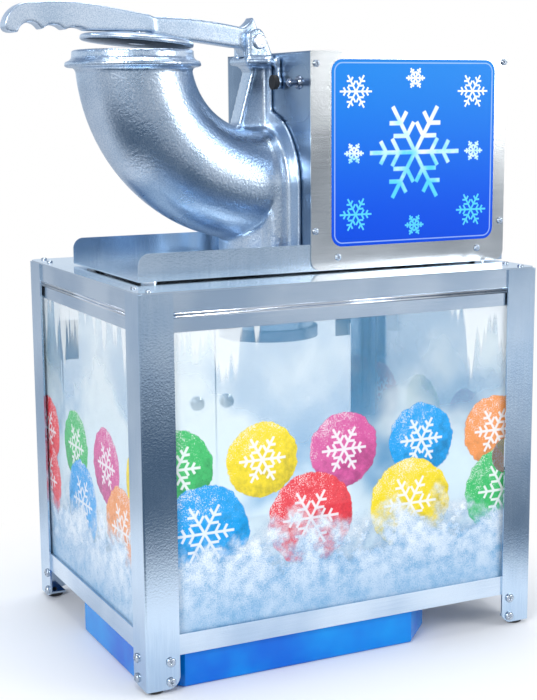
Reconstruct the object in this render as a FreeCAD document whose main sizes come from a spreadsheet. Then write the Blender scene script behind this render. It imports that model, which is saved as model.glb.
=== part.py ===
import FreeCAD, Part
import math
import os
import re
import Sketcher

# A tabletop ice shaver: a glazed cabinet that catches the shaved ice, a chassis pan on its roof, a
# motor box at the right and a cast head at the left whose elbow hopper is closed by a lever.
# X runs along the front from left to right, Y from the front to the operator's side, Z upwards.
# Lengths below are in the cabinet's own frame: X from its left face, Y from its front face and Z
# from the surface that it stands on. Each sub-part's Placement then moves the origin to the middle
# of the whole machine's footprint.

DRIVING = [
    # the cabinet's frame
    ("cabinet_width", 431, "outside of the legs, left to right"),
    ("cabinet_depth", 327, "outside of the legs, front to rear"),
    ("leg_length", 372.7, "angle leg from its bottom end to the roof plate"),
    ("leg_flange", 33.6, "width of each flange of an angle leg"),
    ("leg_sheet", 2, "thickness of a leg"),
    ("leg_bend", 2, "outside bend radius of a leg"),
    ("leg_tip", 12, "rounding of a leg's free bottom corners"),
    ("leg_tab", 21, "folded tab that carries the foot"),
    ("foot_height", 4, "rubber foot under a leg"),
    ("foot_radius", 9, "rubber foot"),
    ("foot_in", 11.5, "foot from the two faces of its leg"),
    ("foot_stem", 2.5, "radius of the foot's stem"),
    ("rail_sheet", 1.2, "thickness of the folded rails"),
    ("rail_setback", 2, "outer face of the rails behind the legs' faces"),
    ("rail_lip", 12, "folded lips of the rails"),
    ("rail_end", 0.4, "gap at the ends of the rails"),
    ("top_rail_height", 36.5, "folded rail under the roof"),
    ("top_band", 20.5, "proud upper band of that rail"),
    ("band_step", 1.9, "how far its lower band is set in"),
    ("bottom_rail_low", 31, "underside of the lower rails above the legs' bottom ends"),
    ("bottom_rail_height", 20, "outer wall of the lower rails"),
    ("rail_hem", 5, "folded hem along the top of that wall"),
    ("glass_channel", 10.8, "floor of the glass channel below the top of that wall"),
    ("channel_wall", 7, "height of the channel's inner wall"),
    ("sheet_gap", 0.2, "gap between folded sheets that lie side by side"),
    # glazing, doors and tray
    ("glass_sheet", 4, "thickness of the panes"),
    ("glass_play", 0.8, "between a pane and its channel"),
    ("glass_edge", 20, "pane edges from the cabinet's corners"),
    ("notch_radius", 18, "finger notch in the front pane"),
    ("notch_height", 180, "finger notch above the legs' bottom ends"),
    ("notch_in", 28, "middle of the finger notch from the right face"),
    ("door_sheet", 5, "thickness of the two rear doors"),
    ("door_gap", 1.6, "gap round a door"),
    ("hinge_height", 44, "length of a door hinge"),
    ("hinge_leaf", 20, "width of a hinge leaf"),
    ("hinge_sheet", 1.5, "thickness of a hinge leaf"),
    ("hinge_knuckle", 3, "outer radius of a knuckle"),
    ("hinge_pin", 1.5, "radius of a hinge pin"),
    ("hinge_in", 30, "hinges from the top and bottom edges of a door"),
    ("knob_radius", 8.5, "door knob"),
    ("knob_length", 12.5, "door knob, standing off the door"),
    ("knob_in", 18, "door knob from the door's free edge"),
    ("catch_length", 44, "catch that both doors close against"),
    ("catch_height", 13, "that catch below the rear top rail"),
    ("tray_depth", 11, "drip tray below its flange"),
    ("drain_radius", 6, "outside of the drain nipple"),
    ("drain_wall", 1.5, "wall of the drain nipple"),
    ("drain_length", 16, "drain nipple below the tray"),
    ("drain_in", 45, "drain nipple from the tub's rear and right walls"),
    ("tub_left", 5, "tub from the cabinet's left face"),
    ("tub_front", 6, "tub from the cabinet's front face"),
    ("tub_length", 321, "melt water tub, left to right"),
    ("tub_width", 220, "melt water tub, front to rear"),
    ("tub_height", 33.6, "melt water tub, so that it slides under the rails"),
    ("tub_corner", 36, "cut-off corners of the tub"),
    ("tub_wall", 2.4, "wall of the tub"),
    ("tub_bend", 3, "rounding along the tub's lower edge"),
    # roof, pan and motor box
    ("roof_sheet", 1.5, "thickness of the roof plate"),
    ("roof_corner", 9, "corner radius of the roof plate"),
    ("pan_gap", 1.8, "spacer washers between the roof and the pan"),
    ("washer_radius", 9, "spacer washers"),
    ("washer_in", 18, "spacer washers from the pan's edges"),
    ("pan_sheet", 1.2, "thickness of the pan and of the motor box"),
    ("pan_front", 60.5, "outer face of the pan's front flange"),
    ("pan_width", 189, "outside of the pan's two flanges"),
    ("pan_left", 24, "left end of the pan"),
    ("pan_flange", 26.5, "height of the flanges"),
    ("pan_corner", 11, "rounding of the flanges' left ends"),
    ("box_width", 226.6, "motor box, left to right"),
    ("box_height", 213, "motor box above the underside of the pan"),
    ("box_flange", 14, "flanges that the panels are screwed to"),
    ("box_bend", 2.5, "bend radius of the motor box"),
    ("panel_sheet", 1.5, "thickness of the front and rear panels"),
    ("panel_corner", 10, "lower corners of the panels"),
    ("vent_width", 42, "ventilation slots of the rear panel"),
    ("vent_height", 4, "height of a slot"),
    ("vent_pitch", 12, "spacing of the slots"),
    ("vent_rise", 46, "uppermost slots above the shaft"),
    ("vent_count", 8, "slots in a column"),
    ("switch_width", 15, "opening for the rocker switch"),
    ("switch_height", 25, "opening for the rocker switch"),
    ("switch_frame", 3, "frame round the rocker"),
    ("switch_depth", 24, "switch behind the panel"),
    ("switch_wall", 1.5, "wall of the switch round its rocker"),
    ("switch_proud", 2, "thickness of the frame on the panel"),
    ("rocker_play", 0.4, "between the rocker and each side wall"),
    ("rocker_end", 1.6, "between the rocker and each end wall"),
    ("rocker_set", 3, "rocker's axis behind the panel's outer face"),
    ("rocker_back", 3, "rocker behind its axis"),
    ("rocker_crest", 6.5, "ends of the rocker in front of its axis"),
    ("rocker_waist", 4.6, "middle of the rocker in front of its axis"),
    ("rocker_well", 10, "hollow of the switch behind the rocker's axis"),
    ("switch_drop", 45, "switch below the top of the box"),
    ("switch_in", 40, "switch from the right face"),
    ("rocker_tilt", 9, "tilt of the rocker either way, in degrees"),
    ("gland_in", 60, "cord inlet from the motor box's left face"),
    ("gland_radius", 8, "cord inlet through the rear panel"),
    ("gland_bore", 4, "bore of the cord inlet"),
    ("gland_collar", 3, "collar of the cord inlet beyond its thread"),
    ("gland_depth", 8, "thread of the cord inlet behind the panel"),
    ("gland_length", 11, "cord inlet outside of the panel's inner face"),
    # the cast head
    ("shaft_height", 79.8, "shaft above the pan's floor"),
    ("bend_radius", 129, "centre line of the elbow"),
    ("tube_radius", 56.5, "outside of the elbow"),
    ("cast_wall", 6.5, "wall of the casting"),
    ("mouth_reach", 145, "middle of the hopper's mouth left of the motor box"),
    ("mouth_rise", 134.5, "rim of the mouth above the shaft"),
    ("rim_radius", 59.5, "outside of the mouth's rim"),
    ("rim_bore", 52, "wider bore at the rim"),
    ("rim_step", 4, "depth of that wider bore"),
    ("rim_height", 10.8, "rim above its flange"),
    ("mouth_flange", 66.5, "radius of the flange below the rim"),
    ("mouth_flange_height", 6.2, "thickness of that flange"),
    ("mouth_edge", 1.5, "chamfers of the rim and its flange"),
    ("drum_radius", 57.5, "outside of the blade drum"),
    ("drum_depth", 26.4, "blade drum in front of the motor box"),
    ("drum_corner", 14, "rounding of the drum's front edge"),
    ("spout_radius", 50, "outside of the spout below the drum"),
    ("head_flange", 76, "half width of the head's mounting flange"),
    ("head_flange_sheet", 3.6, "thickness of that flange"),
    ("pivot_in", 16.4, "lever's pivot left of the motor box"),
    ("pivot_rise", 143, "lever's pivot above the shaft"),
    ("pivot_pin_radius", 5, "pivot pin"),
    ("pivot_head_radius", 7, "heads of the pivot pin"),
    ("pivot_head", 3, "head of the pivot pin, beyond the ears"),
    ("ear_left", 13, "upright edge of the two pivot ears left of the pivot"),
    ("ear_top", 13.6, "rounded top of the ears above the pivot"),
    ("ear_slope", 8.3, "sloping edge of the ears from the pivot"),
    ("ear_sheet", 8.5, "thickness of a pivot ear"),
    ("ear_rise", 16, "pivot above the bracket's table"),
    ("table_sheet", 7, "thickness of the bracket's table"),
    ("table_width", 44, "width of the table, front to rear"),
    ("table_length", 33, "table from the motor box to its left end"),
    ("table_corner", 3, "rounded corners of the table's left end, seen from above"),
    ("table_round", 2.4, "rounding along the upper and lower edges of that end"),
    ("gusset_drop", 8, "hollow gusset between the rib and that end"),
    ("post_width", 23.5, "width of the bracket's leaning rib"),
    ("post_sheet", 4.5, "thickness of that rib"),
    ("post_in", 12, "top of the rib from the table's left end"),
    ("post_lean", 17.7, "how far its foot is left of its top"),
    ("post_drop", 63, "foot of the rib below the underside of the table"),
    ("web_sheet", 8, "web between the rib and the neck"),
    ("neck_width", 28, "neck of the mounting flange behind the web"),
    ("hanger_width", 7, "arm that hangs from the table's front edge"),
    ("hanger_end", 7.3, "radius of its round end"),
    ("hanger_sheet", 4, "thickness of that arm"),
    ("hanger_drop", 24, "middle of its round end below the table's top"),
    ("hanger_out", 30, "middle of its round end in front of the shaft"),
    ("pad_radius", 7.2, "dark pad on the hanging arm"),
    ("pad_length", 4.8, "thickness of that pad"),
    # the lever
    ("hub_width", 18, "lever between the two ears"),
        ("hub_play", 0.6, "between the hub and each ear"),
    ("hub_tip", 24.8, "pointed top of the hub above the pivot"),
    ("hub_left", 13.2, "hub left of the pivot, below the arm"),
    ("hub_inset", 0.8, "sloping edge of the hub inside that of the ears"),
    ("hub_lift", 0.7, "hub above the table"),
    ("arm_top", 23, "top of the arm above the pivot, at the grip"),
    ("arm_root", 14.2, "top of the arm above the pivot, at the hub"),
    ("arm_swell", 2.65, "crown of the arm's top over a straight line"),
    ("arm_low", 5.6, "underside of the arm below the pivot, at the hub"),
    ("arm_hollow", 8.5, "hollow corner between that underside and the hub"),
    ("grip_width", 27, "hand grip, front to rear"),
    ("belly_width", 19, "underside of the grip, front to rear"),
    ("grip_start", 108, "pivot to the near end of the grip"),
    ("grip_round", 5, "rounding of the grip's upper edges"),
    ("nose_out", 78.2, "grip's nose in front of the cap"),
    ("nose_radius", 26.5, "upper rounding of the nose"),
    ("nose_rise", 8, "middle of that rounding above the pivot"),
    ("nose_tuck", 6.5, "lower rounding of the nose"),
    ("grip_level", 8.8, "ridges between the fingers above the pivot"),
    ("nose_level", 6.2, "lowest point of the nose above the pivot"),
    ("finger_in", 25.1, "first finger groove behind the nose"),
    ("finger_pitch", 22.2, "spacing of the finger grooves"),
    ("finger_depth", 5, "depth of the middle finger groove"),
    ("finger_taper", 2, "how much deeper each groove is towards the nose"),
    ("finger_count", 3, "finger grooves"),
    ("hook_out", 4.1, "lip of the lever in front of the cap"),
    ("hook_play", 0.4, "gap between that lip and the cap's edge"),
    ("hook_drop", 1.5, "lip below the underside of the cap"),
    ("crease_rise", 6, "grip's side above its belly"),
    ("nose_crease", 2, "the same at the nose"),
    ("cap_radius", 55.5, "cap that closes the mouth"),
    ("cap_sheet", 6, "thickness of the cap at its rim"),
    ("cap_dome", 3.5, "rise of the cap's top towards its middle"),
    ("cap_seat", 27, "radius of the flat middle of the cap's top"),
    ("cap_reach", 124.3, "pivot to the middle of the cap"),
    ("cap_tilt", 4.7, "tilt of the cap, in degrees"),
    ("cap_gap", 0.8, "cap above the rim at its right end"),
    ("cap_bolt_radius", 4, "bolt that holds the cap to the lever"),
    # blades, shaft and motor
    ("disc_sheet", 6, "thickness of the blade disc"),
    ("disc_play", 2, "between the blade disc and the drum"),
    ("disc_in", 16, "back of the blade disc in front of the motor box"),
    ("blade_count", 3, "blades on the disc"),
    ("blade_inner", 16, "inner end of a blade from the shaft"),
    ("blade_width", 13, "width of a blade"),
    ("blade_sheet", 2.4, "thickness of a blade"),
    ("blade_proud", 1.2, "cutting edge in front of the disc"),
    ("blade_slot", 7, "slot that the shavings pass through"),
    ("shaft_radius", 7.5, "drive shaft"),
    ("shaft_nose", 9, "nose of the shaft in front of the disc"),
    ("running_clearance", 0.05, "radial, between a turning part and its bore"),
    ("chamber_depth", 50, "snow chamber behind the box's left wall"),
    ("chamber_half", 54, "inner half width of the snow chamber"),
    ("chamber_wall", 4, "wall of the snow chamber"),
    ("bearing_radius", 17.5, "outside of a shaft bearing"),
    ("bearing_width", 11, "shaft bearing"),
    ("motor_radius", 54, "motor"),
    ("motor_length", 104, "motor with its end bells"),
    ("motor_start", 92, "motor behind the box's left wall"),
    ("coupling_depth", 24, "end of the drive shaft inside the motor"),
    ("cradle_in", 14, "motor mount behind the motor's front face"),
    ("cradle_length", 70, "motor mount along the motor"),
    ("cradle_foot", 48, "half width of the motor mount at its foot"),
    ("cradle_half", 40, "half width of the motor mount at its top"),
    # discharge and interlock
    ("chute_out", 1.4, "middle of the discharge chute left of the motor box"),
    ("chute_radius", 47, "outside of the discharge chute"),
    ("chute_wall", 2, "wall of the chute"),
    ("chute_drop", 74, "chute below the roof"),
    ("chute_flange", 60, "radius of the flange under the roof"),
    ("ring_radius", 51.5, "collar ring at the chute's lower end"),
    ("ring_height", 10.5, "collar ring"),
    ("ring_wall", 1.5, "wall of the collar ring"),
    ("plunger_rise", 102, "interlock plunger above the shaft"),
    ("plunger_in", 23, "interlock plunger behind the pan's front flange"),
    ("plunger_radius", 3, "interlock plunger's stem"),
    ("plunger_nose", 4, "radius of its nose"),
    ("plunger_reach", 13.4, "tip of the plunger left of the motor box"),
    ("plunger_travel", 4, "stroke of the plunger"),
    ("bushing_radius", 6.8, "bushing of the plunger"),
    ("bushing_thread", 5, "radius of its thread, through the wall"),
    ("bushing_proud", 3.2, "bushing left of the motor box"),
    ("bushing_depth", 8, "bushing behind the box's left wall"),
    ("switch_gap", 11, "end of the plunger's stem behind the box's left wall"),
    ("origin_x", 180.8, "middle of the whole footprint"),
    ("origin_y", 169.75, "middle of the whole footprint"),
]

DERIVED = [
    ("box_left", "cabinet_width - box_width"),
    ("mouth_x", "box_left - mouth_reach"),
    ("pivot_x", "box_left - pivot_in"),
    ("chute_x", "box_left - chute_out"),
    ("leg_top", "foot_height + leg_length"),
    ("roof_level", "leg_top + roof_sheet"),
    ("pan_level", "roof_level + pan_gap"),
    ("pan_floor", "pan_level + pan_sheet"),
    ("pan_rear", "pan_front + pan_width"),
    ("flange_level", "pan_level + pan_flange"),
    ("mid_y", "pan_front + pan_width / 2"),
    ("box_top", "pan_level + box_height"),
    ("panel_low", "pan_level + 0.5"),
    ("shaft_level", "pan_floor + shaft_height"),
    ("mouth_level", "shaft_level + mouth_rise"),
    ("bend_x", "mouth_x + bend_radius"),
    ("bend_level", "shaft_level + bend_radius"),
    ("drum_left", "box_left - drum_depth"),
    ("bore_radius", "tube_radius - cast_wall"),
    ("drum_bore", "drum_radius - cast_wall"),
    ("pivot_level", "shaft_level + pivot_rise"),
    ("table_level", "pivot_level - ear_rise"),
    ("table_left", "box_left - table_length"),
    ("ear_inner", "hub_width / 2 + hub_play"),
    ("ear_outer", "ear_inner + ear_sheet"),
    ("rail_bottom", "foot_height + bottom_rail_low"),
    ("rail_top", "rail_bottom + bottom_rail_height"),
    ("channel_level", "rail_top - glass_channel"),
    ("channel_top", "channel_level + channel_wall"),
    ("glass_out", "rail_setback + 2 * rail_sheet + glass_play"),
    ("glass_in", "glass_out + glass_sheet"),
    ("channel_in", "glass_in + glass_play"),
    ("channel_back", "channel_in + rail_sheet"),
    ("side_rail_end", "rail_setback + rail_lip + rail_end"),
    ("top_rail_low", "leg_top - top_rail_height"),
    ("glass_top", "top_rail_low + channel_wall + 1"),
    ("hinge_x", "leg_flange + door_gap / 2"),
    ("hinge_y", "cabinet_depth + hinge_knuckle + 0.1"),
    ("door_low", "rail_top + door_gap"),
    ("door_high", "top_rail_low - door_gap"),
    ("door_edge", "leg_flange + door_gap"),
    ("door_free", "(cabinet_width - door_gap) / 2"),
    ("door_inner", "cabinet_depth - door_sheet"),
    ("tray_out", "channel_back + 1"),
    ("tray_floor", "channel_top - tray_depth"),
    ("tub_right", "tub_left + tub_length"),
    ("tub_rear", "tub_front + tub_width"),
    ("drain_x", "tub_right - drain_in"),
    ("drain_y", "tub_rear - drain_in"),
    ("disc_radius", "drum_bore - disc_play"),
    ("disc_back", "box_left - disc_in"),
    ("disc_front", "disc_back - disc_sheet"),
    ("chamber_left", "box_left + pan_sheet + sheet_gap"),
    ("chamber_right", "chamber_left + chamber_depth"),
    ("boss_right", "chamber_right + 2 * bearing_width"),
    ("motor_left", "box_left + motor_start"),
    ("motor_right", "motor_left + motor_length"),
    ("chute_low", "roof_level - chute_drop"),
    ("lever_reach", "cap_reach + cap_radius + nose_out"),
    ("hook_in", "cap_reach + cap_radius + hook_play"),
    ("belly_reach", "hook_in + hook_out"),
    ("plunger_level", "shaft_level + plunger_rise"),
    ("plunger_y", "pan_front + plunger_in"),
    ("plunger_tip", "box_left - plunger_reach"),
    ("switch_x", "cabinet_width - switch_in"),
    ("switch_level", "box_top - switch_drop"),
    ("panel_face", "pan_rear + panel_sheet"),
    ("gland_x", "box_left + gland_in"),
    ("gland_level", "flange_level + box_flange"),
]

doc = FreeCAD.newDocument("IceShaver")
sizes = doc.addObject("Spreadsheet::Sheet", "Sizes")
for row, (name, number, note) in enumerate(DRIVING, 1):
    sizes.set(f"A{row}", note)
    sizes.set(f"B{row}", str(number))
    sizes.setAlias(f"B{row}", name)
for row, (name, formula) in enumerate(DERIVED, 1):
    sizes.set(f"D{row}", "=" + formula)
    sizes.setAlias(f"D{row}", name)
doc.recompute()

ALIASES = {entry[0] for entry in DRIVING} | {entry[0] for entry in DERIVED}
PIECES = []
V = FreeCAD.Vector
X_AXIS, Y_AXIS, Z_AXIS = V(1, 0, 0), V(0, 1, 0), V(0, 0, 1)


def bound(formula):
    """The formula as another object of the document has to write it."""
    return re.sub(r"[a-z]\w*", lambda m: "Sizes." + m[0] if m[0] in ALIASES else m[0], formula)


def value(formula):
    """What a formula on the sheet comes to."""
    return float(sizes.evalExpression(formula))


def seat(piece):
    """Moves a piece from the cabinet's frame to the machine's own origin."""
    piece.setExpression("Placement.Base.x", "-Sizes.origin_x")
    piece.setExpression("Placement.Base.y", "-Sizes.origin_y")
    PIECES.append(piece)
    return piece


def new_body(label):
    """An empty body that becomes the sub-part of that name."""
    return seat(doc.addObject("PartDesign::Body", label))


def solid_piece(label, shape):
    """A sub-part whose shape is worked out in code from the sheet's sizes."""
    piece = doc.addObject("Part::Feature", label)
    piece.Shape = Part.makeCompound([shape]) if shape.ShapeType == "Solid" else shape
    return seat(piece)


# ---------------------------------------------------------------- sketches

def bind(sketch, kind, geometry, point, formula):
    """A dimension in a sketch that follows the sheet."""
    if point is None:
        constraint = Sketcher.Constraint(kind, geometry, value(formula))
    else:
        constraint = Sketcher.Constraint(kind, geometry, point, value(formula))
    index = sketch.addConstraint(constraint)
    sketch.setExpression(f"Constraints[{index}]", bound(formula))


def polygon(*corners):
    """A closed outline of straight lines; each corner is two formulas."""
    def draw(sketch):
        points = [V(value(a), value(b), 0) for a, b in corners]
        first = sketch.GeometryCount
        for start, end in zip(points, points[1:] + points[:1]):
            sketch.addGeometry(Part.LineSegment(start, end))
        for place, (a, b) in enumerate(corners):
            before = first + (place - 1) % len(corners)
            sketch.addConstraint(Sketcher.Constraint("Coincident", before, 2, first + place, 1))
            bind(sketch, "DistanceX", first + place, 1, a)
            bind(sketch, "DistanceY", first + place, 1, b)
    return draw


def box(a0, b0, a1, b1):
    """A rectangle between two opposite corners."""
    return polygon((a0, b0), (a1, b0), (a1, b1), (a0, b1))


def circle(a, b, radius):
    """A circle about a point."""
    def draw(sketch):
        centre = V(value(a), value(b), 0)
        place = sketch.addGeometry(Part.Circle(centre, Z_AXIS, value(radius)))
        bind(sketch, "DistanceX", place, 3, a)
        bind(sketch, "DistanceY", place, 3, b)
        bind(sketch, "Radius", place, None, radius)
    return draw


def arch(middle, low, spring, radius):
    """A doorway's outline: straight sides that end in a half circle at the height of spring."""
    def draw(sketch):
        m, foot, top, r = value(middle), value(low), value(spring), value(radius)
        sketch.addGeometry(Part.LineSegment(V(m + r, top, 0), V(m + r, foot, 0)))
        sketch.addGeometry(Part.LineSegment(V(m + r, foot, 0), V(m - r, foot, 0)))
        sketch.addGeometry(Part.LineSegment(V(m - r, foot, 0), V(m - r, top, 0)))
        crown = Part.ArcOfCircle(Part.Circle(V(m, top, 0), Z_AXIS, r), 0, math.pi)
        sketch.addGeometry(crown)
        for start, end in ((0, 1), (1, 2)):
            sketch.addConstraint(Sketcher.Constraint("Coincident", start, 2, end, 1))
        sketch.addConstraint(Sketcher.Constraint("Tangent", 2, 2, 3, 2))
        sketch.addConstraint(Sketcher.Constraint("Tangent", 3, 1, 0, 1))
        bind(sketch, "DistanceX", 3, 3, middle)
        bind(sketch, "DistanceY", 3, 3, spring)
        bind(sketch, "Radius", 3, None, radius)
        sketch.addConstraint(Sketcher.Constraint("Vertical", 0))
        sketch.addConstraint(Sketcher.Constraint("Horizontal", 1))
        bind(sketch, "DistanceY", 1, 1, low)
    return draw


# How a sketch on each origin plane lies: the offset formula of its own three directions.
PLANES = {
    "XY": lambda level: ("0", "0", level),
    "YZ": lambda level: ("0", "0", level),
    "XZ": lambda level: ("0", "0", f"-({level})"),
}


def sketch_on(body, plane, offset, outlines):
    """A sketch on one of the body's origin planes, moved by three offset formulas."""
    sketch = body.newObject("Sketcher::SketchObject", body.Name + "Sketch")
    support = [part for part in body.Origin.OriginFeatures if part.Role == plane + "_Plane"]
    sketch.AttachmentSupport = [(support[0], "")]
    sketch.MapMode = "FlatFace"
    for axis, formula in zip("xyz", offset):
        if formula != "0":
            sketch.setExpression(f"AttachmentOffset.Base.{axis}", bound(formula))
    for draw in outlines:
        draw(sketch)
    return sketch


def pad(body, plane, low, high, *outlines):
    """Fills the outlines between two levels across the plane."""
    level = high if plane == "XZ" else low
    sketch = sketch_on(body, plane, PLANES[plane](level), outlines)
    feature = body.newObject("PartDesign::Pad", body.Name + "Pad")
    feature.Profile = sketch
    feature.setExpression("Length", bound(f"({high}) - ({low})"))
    return feature


def pocket(body, plane, low, high, *outlines):
    """Cuts the outlines away between two levels across the plane."""
    level = low if plane == "XZ" else high
    sketch = sketch_on(body, plane, PLANES[plane](level), outlines)
    feature = body.newObject("PartDesign::Pocket", body.Name + "Pocket")
    feature.Profile = sketch
    feature.setExpression("Length", bound(f"({high}) - ({low})"))
    return feature


def turn(body, x, y, *profile):
    """Turns a profile of (level, radius) corners about an upright axis."""
    outline = polygon(*[(radius, level) for level, radius in profile])
    sketch = sketch_on(body, "XZ", (x, "0", f"-({y})"), [outline])
    feature = body.newObject("PartDesign::Revolution", body.Name + "Turned")
    feature.Profile = sketch
    feature.ReferenceAxis = (sketch, ["V_Axis"])
    feature.Angle = 360
    return feature


def round_edges(body, radius, *middles):
    """Rounds the edges whose middles are nearest to the given places; None is any coordinate."""
    doc.recompute()
    before = body.Tip
    edges = before.Shape.Edges
    chosen = []
    for place in middles:
        wanted = [None if part is None else value(part) for part in place]

        def distance(number):
            middle = edges[number].BoundBox.Center
            return sum(abs(a - b) for a, b in zip(middle, wanted) if b is not None)
        nearest = min(distance(number) for number in range(len(edges)))
        chosen += [f"Edge{number + 1}" for number in range(len(edges))
                   if distance(number) < nearest + 0.01]
    feature = body.newObject("PartDesign::Fillet", body.Name + "Rounding")
    feature.Base = (before, sorted(set(chosen)))
    feature.setExpression("Radius", bound(radius))
    return feature


# ---------------------------------------------------------------- shapes worked out in code

def turned(profile, place, direction=Z_AXIS):
    """A solid of revolution from (along, radius) corners, from a place along a direction."""
    corners = [V(radius, 0, along) for along, radius in profile]
    face = Part.Face(Part.makePolygon(corners + corners[:1]))
    solid = face.revolve(V(), Z_AXIS, 360)
    solid.Placement = FreeCAD.Placement(place, FreeCAD.Rotation(Z_AXIS, direction))
    return solid


def block(x0, x1, y0, y1, z0, z1):
    """A rectangular solid between six planes."""
    return Part.makeBox(x1 - x0, y1 - y0, z1 - z0, V(x0, y0, z0))


def rod(radius, start, end):
    """A round bar between two places."""
    return Part.makeCylinder(radius, (end - start).Length, start, end - start)


def side_plate(outline, middle, width):
    """Thickens an outline in the X-Z plane equally to both sides of a plane Y = middle."""
    face = Part.Face(outline)
    solid = face.extrude(V(0, width, 0))
    solid.translate(V(0, middle - width / 2, 0))
    return solid


def straight(*corners):
    """A closed wire of straight lines in the X-Z plane."""
    points = [V(x, 0, z) for x, z in corners]
    return Part.makePolygon(points + points[:1])


# ---------------------------------------------------------------- the cabinet's frame

def inwards(side, length):
    """A place at that length inside one of the cabinet's four faces."""
    if side == "right":
        return f"cabinet_width - ({length})"
    if side == "rear":
        return f"cabinet_depth - ({length})"
    return length


def span(side, near, far):
    """Two lengths inside a face as a rising pair of places."""
    pair = (inwards(side, near), inwards(side, far))
    return pair if side in ("left", "front") else pair[::-1]


# Angle legs with rounded lower corners and a folded tab for the foot.
for front in ("front", "rear"):
    for side in ("left", "right"):
        leg = new_body(f"leg_{front}_{side}")
        corners = [("0", "0"), ("leg_flange", "0"), ("leg_flange", "leg_sheet"),
                   ("leg_sheet", "leg_sheet"), ("leg_sheet", "leg_flange"), ("0", "leg_flange")]
        pad(leg, "XY", "foot_height", "leg_top",
            polygon(*[(inwards(side, a), inwards(front, b)) for a, b in corners]))
        round_edges(leg, "leg_tip",
                    (inwards(side, "leg_flange"), inwards(front, "leg_sheet / 2"), "foot_height"),
                    (inwards(side, "leg_sheet / 2"), inwards(front, "leg_flange"), "foot_height"))
        round_edges(leg, "leg_bend", (inwards(side, "0"), inwards(front, "0"), None))
        pad(leg, "XY", "foot_height", "foot_height + leg_sheet",
            box(inwards(side, "leg_sheet"), inwards(front, "leg_sheet"),
                inwards(side, "leg_tab"), inwards(front, "leg_tab")))
        pocket(leg, "XY", "foot_height", "foot_height + leg_sheet",
               circle(inwards(side, "foot_in"), inwards(front, "foot_in"), "foot_stem"))

# Rubber feet, each with a stem that snaps into the tab above it.
foot, stem, height, tab = (value(name) for name in
                           ("foot_radius", "foot_stem", "foot_height", "leg_sheet"))
foot_profile = [(0, 0), (0, foot - 1), (1, foot), (height, foot), (height, stem),
                (height + tab, stem), (height + tab, stem + 0.6), (height + 2 * tab, stem - 0.8),
                (height + 2 * tab, 0)]
solid_piece("feet", Part.makeCompound([
    turned(foot_profile, V(value(inwards(side, "foot_in")), value(inwards(front, "foot_in")), 0))
    for front in ("front", "rear") for side in ("left", "right")]))


def rail(label, side, corners):
    """A folded rail along one side from its (depth, height) cross-section."""
    piece = new_body(label)
    outline = polygon(*[(inwards(side, depth), level) for depth, level in corners])
    if side in ("front", "rear"):
        pad(piece, "YZ", "leg_sheet + rail_end", "cabinet_width - leg_sheet - rail_end", outline)
    else:
        pad(piece, "XZ", "side_rail_end", "cabinet_depth - side_rail_end", outline)
    return piece


# Top rails: lip under the roof, proud band, set-in band and a channel for the glass.
TOP_RAIL = [
    ("rail_setback", "leg_top"),
    ("rail_setback", "leg_top - top_band"),
    ("rail_setback + band_step", "leg_top - top_band - band_step"),
    ("rail_setback + band_step", "top_rail_low"),
    ("rail_setback + band_step + rail_sheet", "top_rail_low"),
    ("rail_setback + band_step + rail_sheet", "glass_top + rail_sheet"),
    ("channel_in", "glass_top + rail_sheet"),
    ("channel_in", "top_rail_low"),
    ("channel_back", "top_rail_low"),
    ("channel_back", "glass_top + 2 * rail_sheet"),
    ("rail_setback + band_step + rail_sheet", "glass_top + 2 * rail_sheet"),
    ("rail_setback + band_step + rail_sheet", "leg_top - top_band - band_step + rail_sheet / 2"),
    ("rail_setback + rail_sheet", "leg_top - top_band + rail_sheet / 2"),
    ("rail_setback + rail_sheet", "leg_top - rail_sheet"),
    ("rail_setback + rail_lip", "leg_top - rail_sheet"),
    ("rail_setback + rail_lip", "leg_top"),
]
# Bottom rails: hemmed outer wall and a channel for the glass.
BOTTOM_RAIL = [
    ("rail_setback", "rail_bottom"),
    ("rail_setback", "rail_top"),
    ("rail_setback + 2 * rail_sheet", "rail_top"),
    ("rail_setback + 2 * rail_sheet", "rail_top - rail_hem"),
    ("rail_setback + rail_sheet", "rail_top - rail_hem"),
    ("rail_setback + rail_sheet", "channel_level"),
    ("channel_in", "channel_level"),
    ("channel_in", "channel_top"),
    ("channel_back", "channel_top"),
    ("channel_back", "channel_level - rail_sheet"),
    ("rail_setback + rail_sheet", "channel_level - rail_sheet"),
    ("rail_setback + rail_sheet", "rail_bottom"),
]
for side in ("front", "left", "right", "rear"):
    rail(f"top_rail_{side}", side, TOP_RAIL)
    rail(f"bottom_rail_{side}", side, BOTTOM_RAIL)

# Melt water tub, pushed in under the rails: a flat tub with cut-off corners and an open top.
def octagon(wall):
    """The tub's plan at that depth inside its outer walls."""
    left, right = f"tub_left + {wall}", f"tub_right - {wall}"
    front, rear = f"tub_front + {wall}", f"tub_rear - {wall}"
    cut = f"(tub_corner - {wall} * (2 - sqrt(2)))"
    return polygon((f"{left} + {cut}", front), (f"{right} - {cut}", front),
                   (right, f"{front} + {cut}"), (right, f"{rear} - {cut}"),
                   (f"{right} - {cut}", rear), (f"{left} + {cut}", rear),
                   (left, f"{rear} - {cut}"), (left, f"{front} + {cut}"))


tub = new_body("drip_tub")
pad(tub, "XY", "0", "tub_height", octagon("0"))
round_edges(tub, "tub_bend", (None, None, "0"))
pocket(tub, "XY", "tub_wall", "tub_height", octagon("tub_wall"))

# ---------------------------------------------------------------- glazing, doors and tray

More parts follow.
